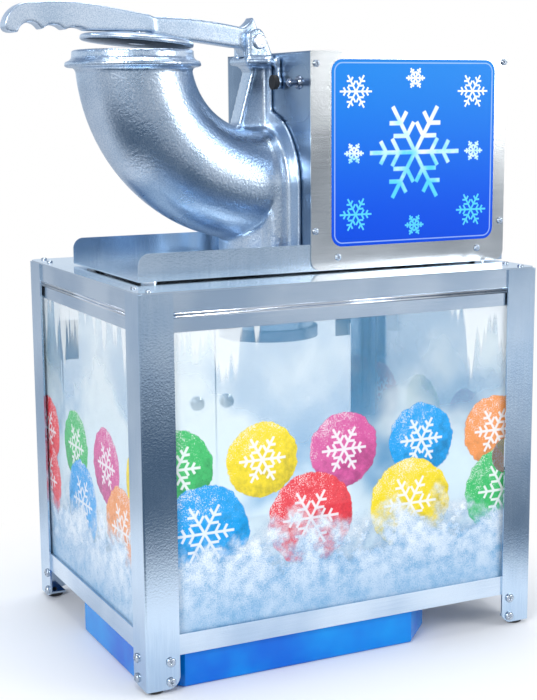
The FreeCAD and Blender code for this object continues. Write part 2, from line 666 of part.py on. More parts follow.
glass = new_body("glass_front")
pad(glass, "XZ", "glass_out", "glass_in",
    box("glass_edge", "channel_level", "cabinet_width - glass_edge", "glass_top"))
pocket(glass, "XZ", "glass_out", "glass_in",
       circle("cabinet_width - notch_in", "foot_height + notch_height", "notch_radius"))
for side in ("left", "right"):
    glass = new_body(f"glass_{side}")
    low, high = span(side, "glass_out", "glass_in")
    pad(glass, "YZ", low, high,
        box("glass_edge", "channel_level", "cabinet_depth - glass_edge", "glass_top"))

# Two clear doors, hung on the rear legs and closing on a catch below the rail.
for side in ("left", "right"):
    door = new_body(f"door_{side}")
    edges = (inwards(side, "door_edge"), inwards(side, "door_free"))
    pad(door, "XZ", "door_inner", "cabinet_depth", box(edges[0], "door_low", edges[1], "door_high"))

catch = new_body("door_catch")
MIDDLE = "cabinet_width / 2"
CATCH_FRONT = "cabinet_depth - channel_back - 4"
pad(catch, "YZ", f"{MIDDLE} - catch_length / 2", f"{MIDDLE} + catch_length / 2",
    polygon((CATCH_FRONT, "top_rail_low"), ("door_inner - sheet_gap", "top_rail_low"),
            ("door_inner - sheet_gap", "top_rail_low - catch_height"),
            ("door_inner - 4", "top_rail_low - catch_height"),
            (CATCH_FRONT, "top_rail_low - 4")))

for side, sign in (("left", 1), ("right", -1)):
    knob_x = value(inwards(side, "door_free - knob_in"))
    knob_z = value("(door_low + door_high) / 2")
    r, length = value("knob_radius"), value("knob_length")
    solid_piece(f"door_knob_{side}", turned(
        [(0, 0), (0, 0.7 * r), (1, 0.7 * r), (1.4, 0.45 * r), (0.4 * length, 0.45 * r),
         (0.55 * length, r), (0.85 * length, r), (length, 0.75 * r), (length, 0)],
        V(knob_x, value("cabinet_depth"), knob_z), Y_AXIS))


def hinge_leaves(side, levels, on_leg):
    """The leaves of one door's hinges that stay on the leg, or those that turn with the door."""
    x, y = value(inwards(side, "hinge_x")), value("hinge_y")
    knuckle, gap, face = value("hinge_knuckle"), value("sheet_gap"), value("cabinet_depth")
    height, plate = value("hinge_height"), face + value("hinge_sheet")
    away = 1 if (side == "left") != on_leg else -1
    bore = value("hinge_pin") + (0 if on_leg else value("running_clearance"))
    leaves = []
    for middle in levels:
        low, high = middle - height / 2, middle + height / 2
        inner = (low + (height - gap) / 3, high - (height - gap) / 3)
        knuckles = [(low, inner[0]), (inner[1], high)] if on_leg else [
            (inner[0] + gap, inner[1] - gap)]
        near, far = x + away * (knuckle + gap), x + away * value("hinge_leaf")
        leaf = block(min(near, far), max(near, far), face, plate, low, high)
        for bottom, top in knuckles:
            leaf = leaf.fuse([rod(knuckle, V(x, y, bottom), V(x, y, top)),
                              block(min(x, near), max(x, near), face, plate, bottom, top)])
        leaves.append(leaf.cut(rod(bore, V(x, y, low - 1), V(x, y, high + 1))).removeSplitter())
    return Part.makeCompound(leaves)


hinge_levels = [value("door_low + hinge_in + hinge_height / 2"),
                value("door_high - hinge_in - hinge_height / 2")]
solid_piece("hinge_leaves", Part.makeCompound([hinge_leaves(side, hinge_levels, True)
                                               for side in ("left", "right")]))
for side in ("left", "right"):
    solid_piece(f"door_leaves_{side}", hinge_leaves(side, hinge_levels, False))
half = value("hinge_height") / 2
solid_piece("hinge_pins", Part.makeCompound([
    rod(value("hinge_pin"), V(value(inwards(side, "hinge_x")), value("hinge_y"), middle - half),
        V(value(inwards(side, "hinge_x")), value("hinge_y"), middle + half))
    for side in ("left", "right") for middle in hinge_levels]))

# Folded drip tray on the rails' inner walls, with a drain nipple.
tray = new_body("floor_tray")
pad(tray, "XY", "channel_top", "channel_top + rail_sheet",
    box("channel_in + sheet_gap", "channel_in + sheet_gap",
        "cabinet_width - channel_in - sheet_gap", "cabinet_depth - channel_in - sheet_gap"))
pad(tray, "XY", "tray_floor", "channel_top",
    box("tray_out", "tray_out", "cabinet_width - tray_out", "cabinet_depth - tray_out"))
inner = "tray_out + rail_sheet"
pocket(tray, "XY", "tray_floor + rail_sheet", "channel_top + rail_sheet",
       box(inner, inner, f"cabinet_width - ({inner})", f"cabinet_depth - ({inner})"))
pad(tray, "XY", "tray_floor - drain_length", "tray_floor + rail_sheet",
    circle("drain_x", "drain_y", "drain_radius"))
pocket(tray, "XY", "tray_floor - drain_length", "tray_floor + rail_sheet",
       circle("drain_x", "drain_y", "drain_radius - drain_wall"))

# ---------------------------------------------------------------- roof, pan and motor box

roof = new_body("roof_plate")
pad(roof, "XY", "leg_top", "roof_level", box("0", "0", "cabinet_width", "cabinet_depth"))
round_edges(roof, "roof_corner", *[(inwards(side, "0"), inwards(front, "0"), None)
                                   for side in ("left", "right") for front in ("front", "rear")])
pocket(roof, "XY", "leg_top", "roof_level", circle("chute_x", "mid_y", "chute_radius"))

PAN_WASHERS = [(x, y) for x in ("pan_left + washer_in", "cabinet_width - washer_in")
               for y in ("pan_front + washer_in", "pan_rear - washer_in")]
solid_piece("pan_washers", Part.makeCompound([
    rod(value("washer_radius"), V(value(x), value(y), value("roof_level")),
        V(value(x), value(y), value("pan_level"))) for x, y in PAN_WASHERS]))

PAN_INNER = ("pan_front + pan_sheet", "pan_rear - pan_sheet")
pan = new_body("chassis_pan")
pad(pan, "YZ", "pan_left", "cabinet_width",
    polygon(("pan_front", "pan_level"), ("pan_rear", "pan_level"), ("pan_rear", "flange_level"),
            (PAN_INNER[1], "flange_level"), (PAN_INNER[1], "pan_floor"),
            (PAN_INNER[0], "pan_floor"), (PAN_INNER[0], "flange_level"),
            ("pan_front", "flange_level")))
round_edges(pan, "pan_corner", ("pan_left", "pan_front + pan_sheet / 2", "flange_level"),
            ("pan_left", "pan_rear - pan_sheet / 2", "flange_level"))
pocket(pan, "XY", "pan_level", "pan_floor", circle("chute_x", "mid_y", "chute_radius - chute_wall"))

# The cover is one folded piece: left wall, top and right wall, with flanges for both panels.
cover = new_body("motor_cover")
ABOVE_FLANGE = "flange_level + sheet_gap"
WALL_FRONT = "pan_front + pan_sheet + sheet_gap"
WALL_REAR = "pan_rear - pan_sheet - sheet_gap"
pad(cover, "YZ", "box_left", "cabinet_width",
    polygon(("pan_front", ABOVE_FLANGE), ("pan_front", "box_top"), ("pan_rear", "box_top"),
            ("pan_rear", ABOVE_FLANGE), (WALL_REAR, ABOVE_FLANGE), (WALL_REAR, "pan_floor"),
            (WALL_FRONT, "pan_floor"), (WALL_FRONT, ABOVE_FLANGE)))
round_edges(cover, "box_bend", ("box_left", "mid_y", "box_top"),
            ("cabinet_width", "mid_y", "box_top"))
pocket(cover, "YZ", "box_left + pan_sheet", "cabinet_width - pan_sheet",
       box(PAN_INNER[0], "pan_floor", PAN_INNER[1], "box_top - pan_sheet"))
pocket(cover, "XZ", "pan_front", "pan_rear",
       box("box_left + box_flange", "pan_floor", "cabinet_width - box_flange",
           "box_top - box_flange"))
pocket(cover, "YZ", "box_left", "box_left + pan_sheet",
       arch("mid_y", "pan_floor", "shaft_level", "chamber_half"))
pocket(cover, "YZ", "box_left", "box_left + pan_sheet",
       circle("plunger_y", "plunger_level", "bushing_thread"))

for label, low, high in (("front_panel", "pan_front - panel_sheet", "pan_front"),
                         ("rear_panel", "pan_rear", "panel_face")):
    panel = new_body(label)
    pad(panel, "XZ", low, high, box("box_left", "panel_low", "cabinet_width", "box_top"))
    round_edges(panel, "panel_corner", ("box_left", None, "panel_low"),
                ("cabinet_width", None, "panel_low"))
    if label == "rear_panel":
        slots = []
        for number in range(int(value("vent_count"))):
            level = f"shaft_level + vent_rise - vent_pitch * {number}"
            for x in ("motor_left", "motor_right - vent_width"):
                slots.append(box(x, level, f"{x} + vent_width", f"{level} + vent_height"))
        pocket(panel, "XZ", low, high, *slots)
        pocket(panel, "XZ", low, high,
               box("switch_x - switch_width / 2 - switch_wall",
                   "switch_level - switch_height / 2 - switch_wall",
                   "switch_x + switch_width / 2 + switch_wall",
                   "switch_level + switch_height / 2 + switch_wall"))
        pocket(panel, "XZ", low, high,
               circle("gland_x", "gland_level", "gland_radius"))

# Rocker switch: its frame snaps into the rear panel, the rocker tips about a pin across it.
switch_x, switch_y, switch_z = (value(name) for name in ("switch_x", "panel_face", "switch_level"))
half_w, half_h, frame, wall = (value(name) for name in (
    "switch_width / 2", "switch_height / 2", "switch_frame", "switch_wall"))
rocker_axis = switch_y - value("rocker_set")
housing = block(switch_x - half_w - wall, switch_x + half_w + wall,
                switch_y - value("switch_depth"), switch_y,
                switch_z - half_h - wall, switch_z + half_h + wall)
housing = housing.fuse(block(switch_x - half_w - frame, switch_x + half_w + frame, switch_y,
                             switch_y + value("switch_proud"),
                             switch_z - half_h - frame, switch_z + half_h + frame))
solid_piece("switch_frame_and_body", housing.cut(
    block(switch_x - half_w, switch_x + half_w, rocker_axis - value("rocker_well"),
          switch_y + frame, switch_z - half_h, switch_z + half_h)))
reach, play = half_h - value("rocker_end"), value("rocker_play")
back, crest, waist = (value(name) for name in ("rocker_back", "rocker_crest", "rocker_waist"))
paddle = Part.Face(Part.makePolygon([V(0, y, z) for y, z in (
    (-back, -reach), (crest, -reach), (waist, 0), (crest, reach), (-back, reach),
    (-back, -reach))]))
rocker = paddle.extrude(V(2 * (half_w - play), 0, 0))
rocker.translate(V(switch_x - half_w + play, rocker_axis, switch_z))
rocker.rotate(V(switch_x, rocker_axis, switch_z), X_AXIS, value("rocker_tilt"))
solid_piece("rocker", rocker)

# Cord inlet: a gland through the rear panel.
gland, bore, collar = (value(name) for name in ("gland_radius", "gland_bore", "gland_collar"))
sheet, end = value("panel_sheet"), value("gland_length")
solid_piece("cord_gland", turned(
    [(-value("gland_depth"), bore), (-value("gland_depth"), gland), (sheet, gland),
     (sheet, gland + collar), (sheet + collar, gland + collar), (sheet + collar + 1, gland + 2),
     (end - 2, gland - 1), (end, gland - 3), (end, bore)],
    V(value("gland_x"), value("pan_rear"), value("gland_level")), Y_AXIS))

# ---------------------------------------------------------------- the cast head

mid_y, box_left, pan_floor, shaft_level = (value(name) for name in
                                           ("mid_y", "box_left", "pan_floor", "shaft_level"))
bend_x, bend_level, mouth_x, mouth_level = (value(name) for name in
                                            ("bend_x", "bend_level", "mouth_x", "mouth_level"))
pivot = V(value("pivot_x"), mid_y, value("pivot_level"))
pin = value("pivot_pin_radius")


def vault(x0, x1, half, low):
    """A prism along X between two planes: straight sides and a half round top over the shaft."""
    feet = V(x0, mid_y - half, low), V(x0, mid_y + half, low)
    springs = V(x0, mid_y - half, shaft_level), V(x0, mid_y + half, shaft_level)
    crown = Part.Arc(springs[0], V(x0, mid_y, shaft_level + half), springs[1]).toShape()
    wire = Part.Wire([Part.makeLine(feet[0], springs[0]), crown,
                      Part.makeLine(springs[1], feet[1]), Part.makeLine(feet[1], feet[0])])
    return Part.Face(wire).extrude(V(x1 - x0, 0, 0))


def elbow(radius, top):
    """The hopper's elbow: upright at the mouth, then a quarter bend onto the shaft's axis."""
    ring = Part.Wire(Part.makeCircle(radius, V(mouth_x, mid_y, bend_level), Z_AXIS))
    bend = Part.Face(ring).revolve(V(bend_x, mid_y, bend_level), Y_AXIS, -90)
    return bend.fuse(rod(radius, V(mouth_x, mid_y, bend_level), V(mouth_x, mid_y, top)))


def drum():
    """The blade drum, rounded along its front edge."""
    left = value("drum_left")
    shell = vault(left, box_left, value("drum_radius"), pan_floor)
    rim = [edge for edge in shell.Edges
           if edge.BoundBox.XMax < left + 0.01 and edge.BoundBox.ZMax > pan_floor + 1]
    return shell.makeFillet(value("drum_corner"), rim)


def mouth():
    """Flange and rim round the hopper's mouth, with a small step between them."""
    rim, flange = value("rim_radius"), value("mouth_flange")
    step, edge = value("rim_height"), value("mouth_edge")
    low = -step - value("mouth_flange_height")
    return turned([(low, 0), (low, flange - edge), (low + edge, flange), (-step - edge, flange),
                   (-step, flange - edge), (-step, rim), (-edge, rim), (0, rim - edge), (0, 0)],
                  V(mouth_x, mid_y, mouth_level))


def bracket():
    """Neck, web, leaning rib and table above the elbow, which carry the lever's pivot."""
    top = value("table_level - table_sheet")
    foot = top - value("post_drop")
    rib_x = value("table_left + post_in")
    foot_x = rib_x - value("post_lean")
    thick = value("post_sheet")
    left, drop = value("table_left + table_round"), value("gusset_drop")
    rib = side_plate(straight((foot_x, foot), (rib_x, top), (rib_x + thick, top),
                              (foot_x + thick, foot)), mid_y, value("post_width"))
    # The rib spreads under the table's left end with a hollow gusset.
    under = V(rib_x - drop * (rib_x - foot_x) / (top - foot), 0, top - drop)
    belly = V(rib_x - 0.48 * (rib_x - left), 0, top - 0.3 * drop)
    hollow = Part.Arc(V(left, 0, top), belly, under)
    gusset = side_plate(Part.Wire([
        hollow.toShape(), Part.makeLine(under, V(under.x + thick, 0, under.z)),
        Part.makeLine(V(under.x + thick, 0, under.z), V(rib_x + thick, 0, top)),
        Part.makeLine(V(rib_x + thick, 0, top), V(left, 0, top))]), mid_y, value("post_width"))
    web = side_plate(straight((foot_x + 1, foot - 3), (rib_x + 1, top), (box_left, top),
                              (box_left, foot - 3)), mid_y, value("web_sheet"))
    half = value("neck_width / 2")
    neck = block(box_left - value("head_flange_sheet"), box_left, mid_y - half, mid_y + half,
                 shaft_level, top)
    half = value("table_width / 2")
    table = block(value("table_left"), box_left, mid_y - half, mid_y + half, top,
                  value("table_level"))
    upright = [edge for edge in table.Edges
               if edge.BoundBox.ZLength > 1 and edge.BoundBox.XMax < box_left - 1]
    table = table.makeFillet(value("table_corner"), upright)
    end = [edge for edge in table.Edges if edge.BoundBox.XMax < box_left - 1
           and edge.BoundBox.ZLength < 0.01]
    return [rib, gusset, web, neck, table.makeFillet(value("table_round"), end)]


EAR_FOOT = V(box_left - pivot.x - 0.4, 0, -value("ear_rise"))
slope_angle = math.atan2(EAR_FOOT.z, EAR_FOOT.x) + math.acos(value("ear_slope") / EAR_FOOT.Length)
# The direction, seen from the pivot, that the sloping edges of the ears and the hub face.
SLOPE = V(math.cos(slope_angle), 0, math.sin(slope_angle))


def ears():
    """Two plates on the table with an upright left edge, a round top and a sloping right edge."""
    left, top, slope = value("ear_left"), value("ear_top"), value("ear_slope")
    radius = (slope + SLOPE.x * left - SLOPE.z * top) / (1 + SLOPE.x - SLOPE.z)
    middle = V(radius - left, 0, top - radius)
    low = -value("ear_rise + table_sheet / 2")
    touch = middle + SLOPE * radius
    corners = [EAR_FOOT, V(EAR_FOOT.x, 0, low), V(-left, 0, low), V(-left, 0, middle.z)]
    outline = Part.Wire([Part.makeLine(a, b) for a, b in zip(corners, corners[1:])] + [
        Part.Arc(corners[3], middle + V(0, 0, radius), touch).toShape(),
        Part.makeLine(touch, EAR_FOOT)])
    outline.translate(V(pivot.x, 0, pivot.z))
    offset = value("ear_inner + ear_sheet / 2")
    return [side_plate(outline, mid_y + side * offset, value("ear_sheet")) for side in (-1, 1)]


HANGER_RIGHT = value("box_left - sheet_gap * 2")
HANGER_LEFT = HANGER_RIGHT - value("hanger_sheet")
HANGER_Y = mid_y - value("hanger_out")
HANGER_Z = value("table_level - hanger_drop")


def hanger():
    """The arm that hangs from the table's front edge and carries the round pad."""
    half, under = value("hanger_width / 2"), value("table_level - table_sheet")
    return [rod(value("hanger_end"), V(HANGER_LEFT, HANGER_Y, HANGER_Z),
                V(HANGER_RIGHT, HANGER_Y, HANGER_Z)),
            block(HANGER_LEFT, HANGER_RIGHT, HANGER_Y - half, HANGER_Y + half, HANGER_Z,
                  value("table_level")),
            block(value("box_left") - value("hanger_end"), HANGER_RIGHT, HANGER_Y - half, mid_y,
                  under, value("table_level"))]


flange_plate = vault(box_left - value("head_flange_sheet"), box_left, value("head_flange"),
                     pan_floor)
spout_top = shaft_level - value("tube_radius") / 2
spout_x = value("chute_x")
spout = rod(value("spout_radius"), V(spout_x, mid_y, pan_floor), V(spout_x, mid_y, spout_top))
spout = spout.common(block(0, box_left, 0, 2 * mid_y, 0, mouth_level))
casting = flange_plate.fuse([drum(), elbow(value("tube_radius"), mouth_level - 2), mouth(), spout]
                            + bracket() + ears() + hanger())
cavity_left = value("disc_front - blade_proud") - 1
hollow = [elbow(value("bore_radius"), mouth_level + 1),
          rod(value("rim_bore"), V(mouth_x, mid_y, mouth_level - value("rim_step")),
              V(mouth_x, mid_y, mouth_level + 1)),
          vault(cavity_left, box_left + 1, value("drum_bore"), pan_floor - 1),
          rod(value("spout_radius - cast_wall"), V(spout_x, mid_y, pan_floor - 1),
              V(spout_x, mid_y, shaft_level - value("tube_radius"))),
          rod(pin, pivot - V(0, 40, 0), pivot + V(0, 40, 0))]
solid_piece("head_casting", casting.cut(hollow).removeSplitter())
solid_piece("stop_pad", rod(value("pad_radius"),
                            V(HANGER_LEFT - value("pad_length"), HANGER_Y, HANGER_Z),
                            V(HANGER_LEFT, HANGER_Y, HANGER_Z)))

ear_face = value("ear_outer")
head, head_r = value("pivot_head"), value("pivot_head_radius")
solid_piece("pivot_pin", turned(
    [(-head, 0), (-head, head_r - 1), (-head + 1, head_r), (0, head_r), (0, pin),
     (2 * ear_face + head, pin), (2 * ear_face + head + 1, pin - 1), (2 * ear_face + head + 1, 0)],
    pivot - V(0, ear_face, 0), Y_AXIS))

# ---------------------------------------------------------------- the lever

tilt = math.radians(value("cap_tilt"))
cap_up = V(math.sin(tilt), 0, math.cos(tilt))
cap_low = V(pivot.x - value("cap_reach"), mid_y,
            mouth_level + value("cap_gap") + value("cap_radius") * math.sin(tilt))
cap_r, cap_t = value("cap_radius"), value("cap_sheet")


def cap_top(along):
    """Height of the cap's upper face above the pivot at a place along the lever."""
    run = along + value("cap_reach")
    return cap_low.z + cap_t / math.cos(tilt) - run * math.tan(tilt) - pivot.z


def moved_to_pivot(wire):
    """Moves an outline that was drawn about the pivot to its place."""
    wire.translate(V(pivot.x, 0, pivot.z))
    return wire


# The grip's crest between its nose and its rear end: shares of its run and of its fall.
CROWN = [(0.183, -0.13), (0.415, -0.055), (0.699, 0.39)]


def grip_outline(level, nose_low):
    """The grip from the side: crowned top, round nose, and the levels of its two lower edges."""
    radius, tuck = value("nose_radius"), value("nose_tuck")
    nose = V(radius - value("lever_reach"), 0, value("nose_rise"))
    small_z = nose_low + tuck
    small = V(nose.x - math.sqrt((radius - tuck) ** 2 - (nose.z - small_z) ** 2), 0, small_z)
    touch = nose + (small - nose) * (radius / (radius - tuck))
    spin = math.atan2(touch.z - nose.z, nose.x - touch.x)
    turn_up = math.radians(90)
    middle = (spin + turn_up) / 2
    big_middle = nose + V(-radius * math.cos(middle), 0, radius * math.sin(middle))
    low_turn = -math.radians(65)
    middle = (spin + low_turn) / 2
    small_middle = small + V(-tuck * math.cos(middle), 0, tuck * math.sin(middle))
    small_end = small + V(-tuck * math.cos(low_turn), 0, tuck * math.sin(low_turn))
    top, end = nose + V(0, 0, radius), -value("grip_start")
    crown = Part.BSplineCurve()
    rear = V(end - 9, 0, value("arm_top + 2.3"))
    run, fall = rear.x - top.x, top.z - rear.z
    crest = [V(top.x + along * run, 0, top.z - down * fall) for along, down in CROWN]
    crown.interpolate([top] + crest + [rear],
                      InitialTangent=X_AXIS, FinalTangent=V(1, 0, -0.17))
    shoulder = V(end, 0, value("arm_top - 6"))
    corner = V(end - 2, 0, value("arm_top - 0.5"))
    step = value("finger_in - lever_reach - finger_pitch / 3")
    low_edge = [shoulder, V(end, 0, level), V(step, 0, level), V(step, 0, nose_low),
                V(small.x, 0, nose_low), small_end]
    return Part.Wire([crown.toShape(), Part.Arc(rear, corner, shoulder).toShape()]
                     + [Part.makeLine(a, b) for a, b in zip(low_edge, low_edge[1:])]
                     + [Part.Arc(small_end, small_middle, touch).toShape(),
                        Part.Arc(touch, big_middle, top).toShape()])


def grooved(grip, level):
    """The grip with its finger grooves cut as cylinders across its lower edge."""
    pitch, count = value("finger_pitch"), int(value("finger_count"))
    for number in range(count):
        depth = value("finger_depth") + (count // 2 - number) * value("finger_taper")
        radius = (pitch ** 2 / 4 + depth ** 2) / (2 * depth)
        x = pivot.x - value("lever_reach - finger_in") + number * pitch
        z = pivot.z + level + depth - radius
        grip = grip.cut(rod(radius, V(x, mid_y - 30, z), V(x, mid_y + 30, z)))
    return grip


width, belly_width = value("grip_width"), value("belly_width")
belly_level, side_level = value("grip_level"), value("grip_level + crease_rise")
nose_low = value("nose_level")
belly = side_plate(moved_to_pivot(grip_outline(belly_level, nose_low)), mid_y, belly_width)
belly = grooved(belly, belly_level)
grip = side_plate(moved_to_pivot(grip_outline(side_level, nose_low + value("nose_crease"))),
                  mid_y, width)
grip = grooved(grip, side_level)

# The block under the grip sits on the cap and hooks over its edge.
belly_end, grip_end = -value("belly_reach"), -value("grip_start")
hook_in = -value("hook_in")
hook_low = cap_top(hook_in) - cap_t - value("hook_drop")
lever_block = side_plate(moved_to_pivot(straight(
    (belly_end, side_level + 4), (belly_end, hook_low), (hook_in, hook_low),
    (hook_in, cap_top(hook_in)), (grip_end, cap_top(grip_end)), (grip_end, side_level + 1))),
    mid_y, width)
grip = grip.fuse(lever_block).removeSplitter()
crown_edges = [edge for edge in grip.Edges
               if edge.BoundBox.YLength < 0.01 and edge.BoundBox.ZMax > pivot.z + side_level + 5
               and edge.BoundBox.ZMin > pivot.z + side_level + 0.5]
grip = grip.makeFillet(value("grip_round"), crown_edges)

# The arm: crowned top, a hollow up to the hub's point, the slope, the round bottom that turns over
# the table, the upright left side and a hollow corner below the arm.
cap_end = -value("cap_reach") + cap_r
arm_start = V(grip_end - 3, 0, value("arm_top"))
root = V(-value("hub_left") - 0.8, 0, value("arm_root"))
crest = (arm_start + root) * 0.5 + V(0, 0, value("arm_swell"))
slope, lift = value("ear_slope - hub_inset"), value("ear_rise - hub_lift")
tip = V((slope - SLOPE.z * value("hub_tip")) / SLOPE.x, 0, value("hub_tip"))
hollow = V(0.55 * tip.x + 0.45 * root.x, 0, 0.37 * tip.z + 0.63 * root.z)
slope_end = SLOPE * slope + V(SLOPE.z, 0, -SLOPE.x) * math.sqrt(lift ** 2 - slope ** 2)
halfway = (math.atan2(slope_end.z, slope_end.x) - math.pi / 2) / 2
bottom = V(0, 0, -lift)
side_x, underside, corner = -value("hub_left"), -value("arm_low"), value("arm_hollow")
side_top = V(side_x, 0, underside - 0.7 * corner)
arm_under = V(side_x - corner, 0, underside)
shaded = V(side_x - 0.25 * corner, 0, underside - 0.18 * corner)
cap_edge = V(cap_end + 3, 0, cap_top(cap_end) + value("cap_dome") / 2)
arm_back = V(grip_end - 3, 0, cap_edge.z + 2)
arm_wire = Part.Wire([
    Part.Arc(arm_start, crest, root).toShape(), Part.Arc(root, hollow, tip).toShape(),
    Part.makeLine(tip, slope_end),
    Part.Arc(slope_end, V(lift * math.cos(halfway), 0, lift * math.sin(halfway)), bottom).toShape(),
    Part.makeLine(bottom, V(side_x, 0, -lift)), Part.makeLine(V(side_x, 0, -lift), side_top),
    Part.Arc(side_top, shaded, arm_under).toShape(), Part.makeLine(arm_under, cap_edge),
    Part.makeLine(cap_edge, arm_back), Part.makeLine(arm_back, arm_start)])
arm = side_plate(moved_to_pivot(arm_wire), mid_y, value("hub_width"))
bolt_r = value("cap_bolt_radius")
bolt_end = cap_t + value("cap_dome") + 3 * bolt_r
bolt = turned([(0, 0), (0, 2 * bolt_r), (bolt_r, bolt_r), (bolt_end, bolt_r), (bolt_end, 0)],
              cap_low, cap_up)
cap_crest, cap_seat = cap_t + value("cap_dome"), value("cap_seat")
edge_r, play = cap_r + value("hook_play"), value("hook_play")
cap_room = turned([(0, 0), (0, edge_r), (cap_t, edge_r), (cap_crest, cap_seat + play),
                   (cap_crest, 0)], cap_low, cap_up)
lever = grip.fuse([belly, arm]).cut(
    [rod(pin + value("running_clearance"), pivot - V(0, 40, 0), pivot + V(0, 40, 0)), bolt,
     cap_room])
solid_piece("lever", lever.removeSplitter())
solid_piece("cap_bolt", bolt)
cap_disc = turned([(0, 0), (0, cap_r - 2), (0.6, cap_r - 0.6), (2, cap_r), (cap_t - 2.5, cap_r),
                   (cap_t - 0.8, cap_r - 0.8), (cap_t, cap_r - 2.5), (cap_crest, cap_seat),
                   (cap_crest, 0)], cap_low, cap_up)
solid_piece("pusher_cap", cap_disc.cut(bolt))

# ---------------------------------------------------------------- blades, shaft and motor

disc_front, disc_back, disc_r = (value(name) for name in
                                 ("disc_front", "disc_back", "disc_radius"))
shaft_r, clearance = value("shaft_radius"), value("running_clearance")


def on_shaft(x):
    """A place on the shaft's axis."""
    return V(x, mid_y, shaft_level)


def around_shaft(number, shape):
    """A copy of a shape, turned about the shaft to the given blade's place."""
    copy = shape.copy()
    copy.rotate(on_shaft(0), X_AXIS, 360 * number / value("blade_count"))
    return copy


blades = range(int(value("blade_count")))
blade_in, blade_w, blade_t = (value(name) for name in ("blade_inner", "blade_width", "blade_sheet"))
seat_depth = blade_t - value("blade_proud")
blade_y0, blade_y1 = mid_y, mid_y + blade_w
blade_z0, blade_z1 = shaft_level + blade_in, shaft_level + disc_r - 4
profile = Part.makePolygon([V(x, y, blade_z0) for x, y in (
    (disc_front + seat_depth, blade_y0 + 3), (disc_front + seat_depth, blade_y1),
    (disc_front - value("blade_proud"), blade_y1), (disc_front - value("blade_proud"), blade_y0),
    (disc_front + seat_depth, blade_y0 + 3))])
blade = Part.Face(profile).extrude(V(0, 0, blade_z1 - blade_z0))
seat_cut = block(disc_front - 1, disc_front + seat_depth, blade_y0, blade_y1, blade_z0, blade_z1)
slot_cut = block(disc_front - 1, disc_back + 1, blade_y0 - value("blade_slot"), blade_y0 + 3,
                 blade_z0, blade_z1)
disc = rod(disc_r, on_shaft(disc_front), on_shaft(disc_back))
disc = disc.fuse(rod(shaft_r + 6, on_shaft(disc_back), on_shaft(disc_back + 8)))
disc = disc.cut([rod(shaft_r, on_shaft(disc_front - 1), on_shaft(disc_back + 9))] + [
    around_shaft(number, tool) for number in blades
    for tool in (seat_cut, slot_cut)])
solid_piece("blade_disc", disc)
solid_piece("blades", Part.makeCompound([around_shaft(number, blade) for number in blades]))

motor_left, motor_right, motor_r = (value(name) for name in
                                    ("motor_left", "motor_right", "motor_radius"))
nose = value("shaft_nose")
shaft_end = motor_left + value("coupling_depth")
solid_piece("drive_shaft", turned(
    [(-nose, 0), (-nose, 3), (0, shaft_r + 5), (0, shaft_r), (shaft_end - disc_front, shaft_r),
     (shaft_end - disc_front, 0)], on_shaft(disc_front), X_AXIS))

chamber_left, chamber_right, boss_right = (value(name) for name in
                                           ("chamber_left", "chamber_right", "boss_right"))
half, wall = value("chamber_half"), value("chamber_wall")
bearing_r, bearing_w = value("bearing_radius"), value("bearing_width")
chamber = vault(chamber_left, chamber_right, half + wall, pan_floor)
chamber = chamber.cut(vault(chamber_left - 1, chamber_right - wall, half, pan_floor - 1))
chamber = chamber.fuse(rod(bearing_r + 6, on_shaft(chamber_right - 1), on_shaft(boss_right)))
chamber = chamber.cut([rod(bearing_r, on_shaft(chamber_right), on_shaft(boss_right + 1)),
                       rod(shaft_r + 6, on_shaft(chamber_right - wall - 1),
                           on_shaft(chamber_right + 1))])
solid_piece("snow_chamber", chamber.removeSplitter())


def ring(start, length, inner, outer):
    """A plain ring round the shaft."""
    return turned([(0, inner), (0, outer), (length, outer), (length, inner)], on_shaft(start),
                  X_AXIS)


solid_piece("shaft_seal", ring(chamber_right - wall, wall, shaft_r + clearance, shaft_r + 6))
solid_piece("shaft_bearings", Part.makeCompound([
    ring(chamber_right + number * bearing_w, bearing_w - 0.4 * number, shaft_r + clearance,
         bearing_r) for number in range(2)]))

motor = turned([(0, 0), (0, 0.45 * motor_r), (4, 0.45 * motor_r), (4, 0.93 * motor_r),
                (7, motor_r), (motor_right - motor_left - 9, motor_r),
                (motor_right - motor_left, 0.8 * motor_r), (motor_right - motor_left, 0)],
               on_shaft(motor_left), X_AXIS)
solid_piece("motor_housing", motor.cut(rod(shaft_r + clearance, on_shaft(motor_left - 1),
                                           on_shaft(shaft_end + 1))))
cradle, cradle_length, foot, half = (value(name) for name in (
    "motor_left + cradle_in", "cradle_length", "cradle_foot", "cradle_half"))
cradle_top = shaft_level - 0.63 * motor_r
mount = Part.Face(Part.makePolygon([V(cradle, mid_y + y, z) for y, z in (
    (-foot, pan_floor), (foot, pan_floor), (foot, pan_floor + 6), (half, cradle_top),
    (-half, cradle_top), (-foot, pan_floor + 6), (-foot, pan_floor))]))
mount = mount.extrude(V(cradle_length, 0, 0))
solid_piece("motor_mount", mount.cut(rod(motor_r, on_shaft(cradle - 1),
                                         on_shaft(cradle + cradle_length + 1))))

# ---------------------------------------------------------------- discharge and interlock

chute = new_body("discharge_chute")
turn(chute, "chute_x", "mid_y",
     ("chute_low", "chute_radius - chute_wall"), ("chute_low", "chute_radius"),
     ("leg_top - chute_wall", "chute_radius"), ("leg_top - chute_wall", "chute_flange"),
     ("leg_top", "chute_flange"), ("leg_top", "chute_radius"), ("pan_level", "chute_radius"),
     ("pan_level", "chute_radius - chute_wall"))
collar = new_body("chute_ring")
turn(collar, "chute_x", "mid_y",
     ("chute_low", "chute_radius"), ("chute_low", "ring_radius"),
     ("chute_low + ring_height", "ring_radius"),
     ("chute_low + ring_height", "ring_radius - ring_wall"),
     ("chute_low + ring_wall", "ring_radius - ring_wall"),
     ("chute_low + ring_wall", "chute_radius"))

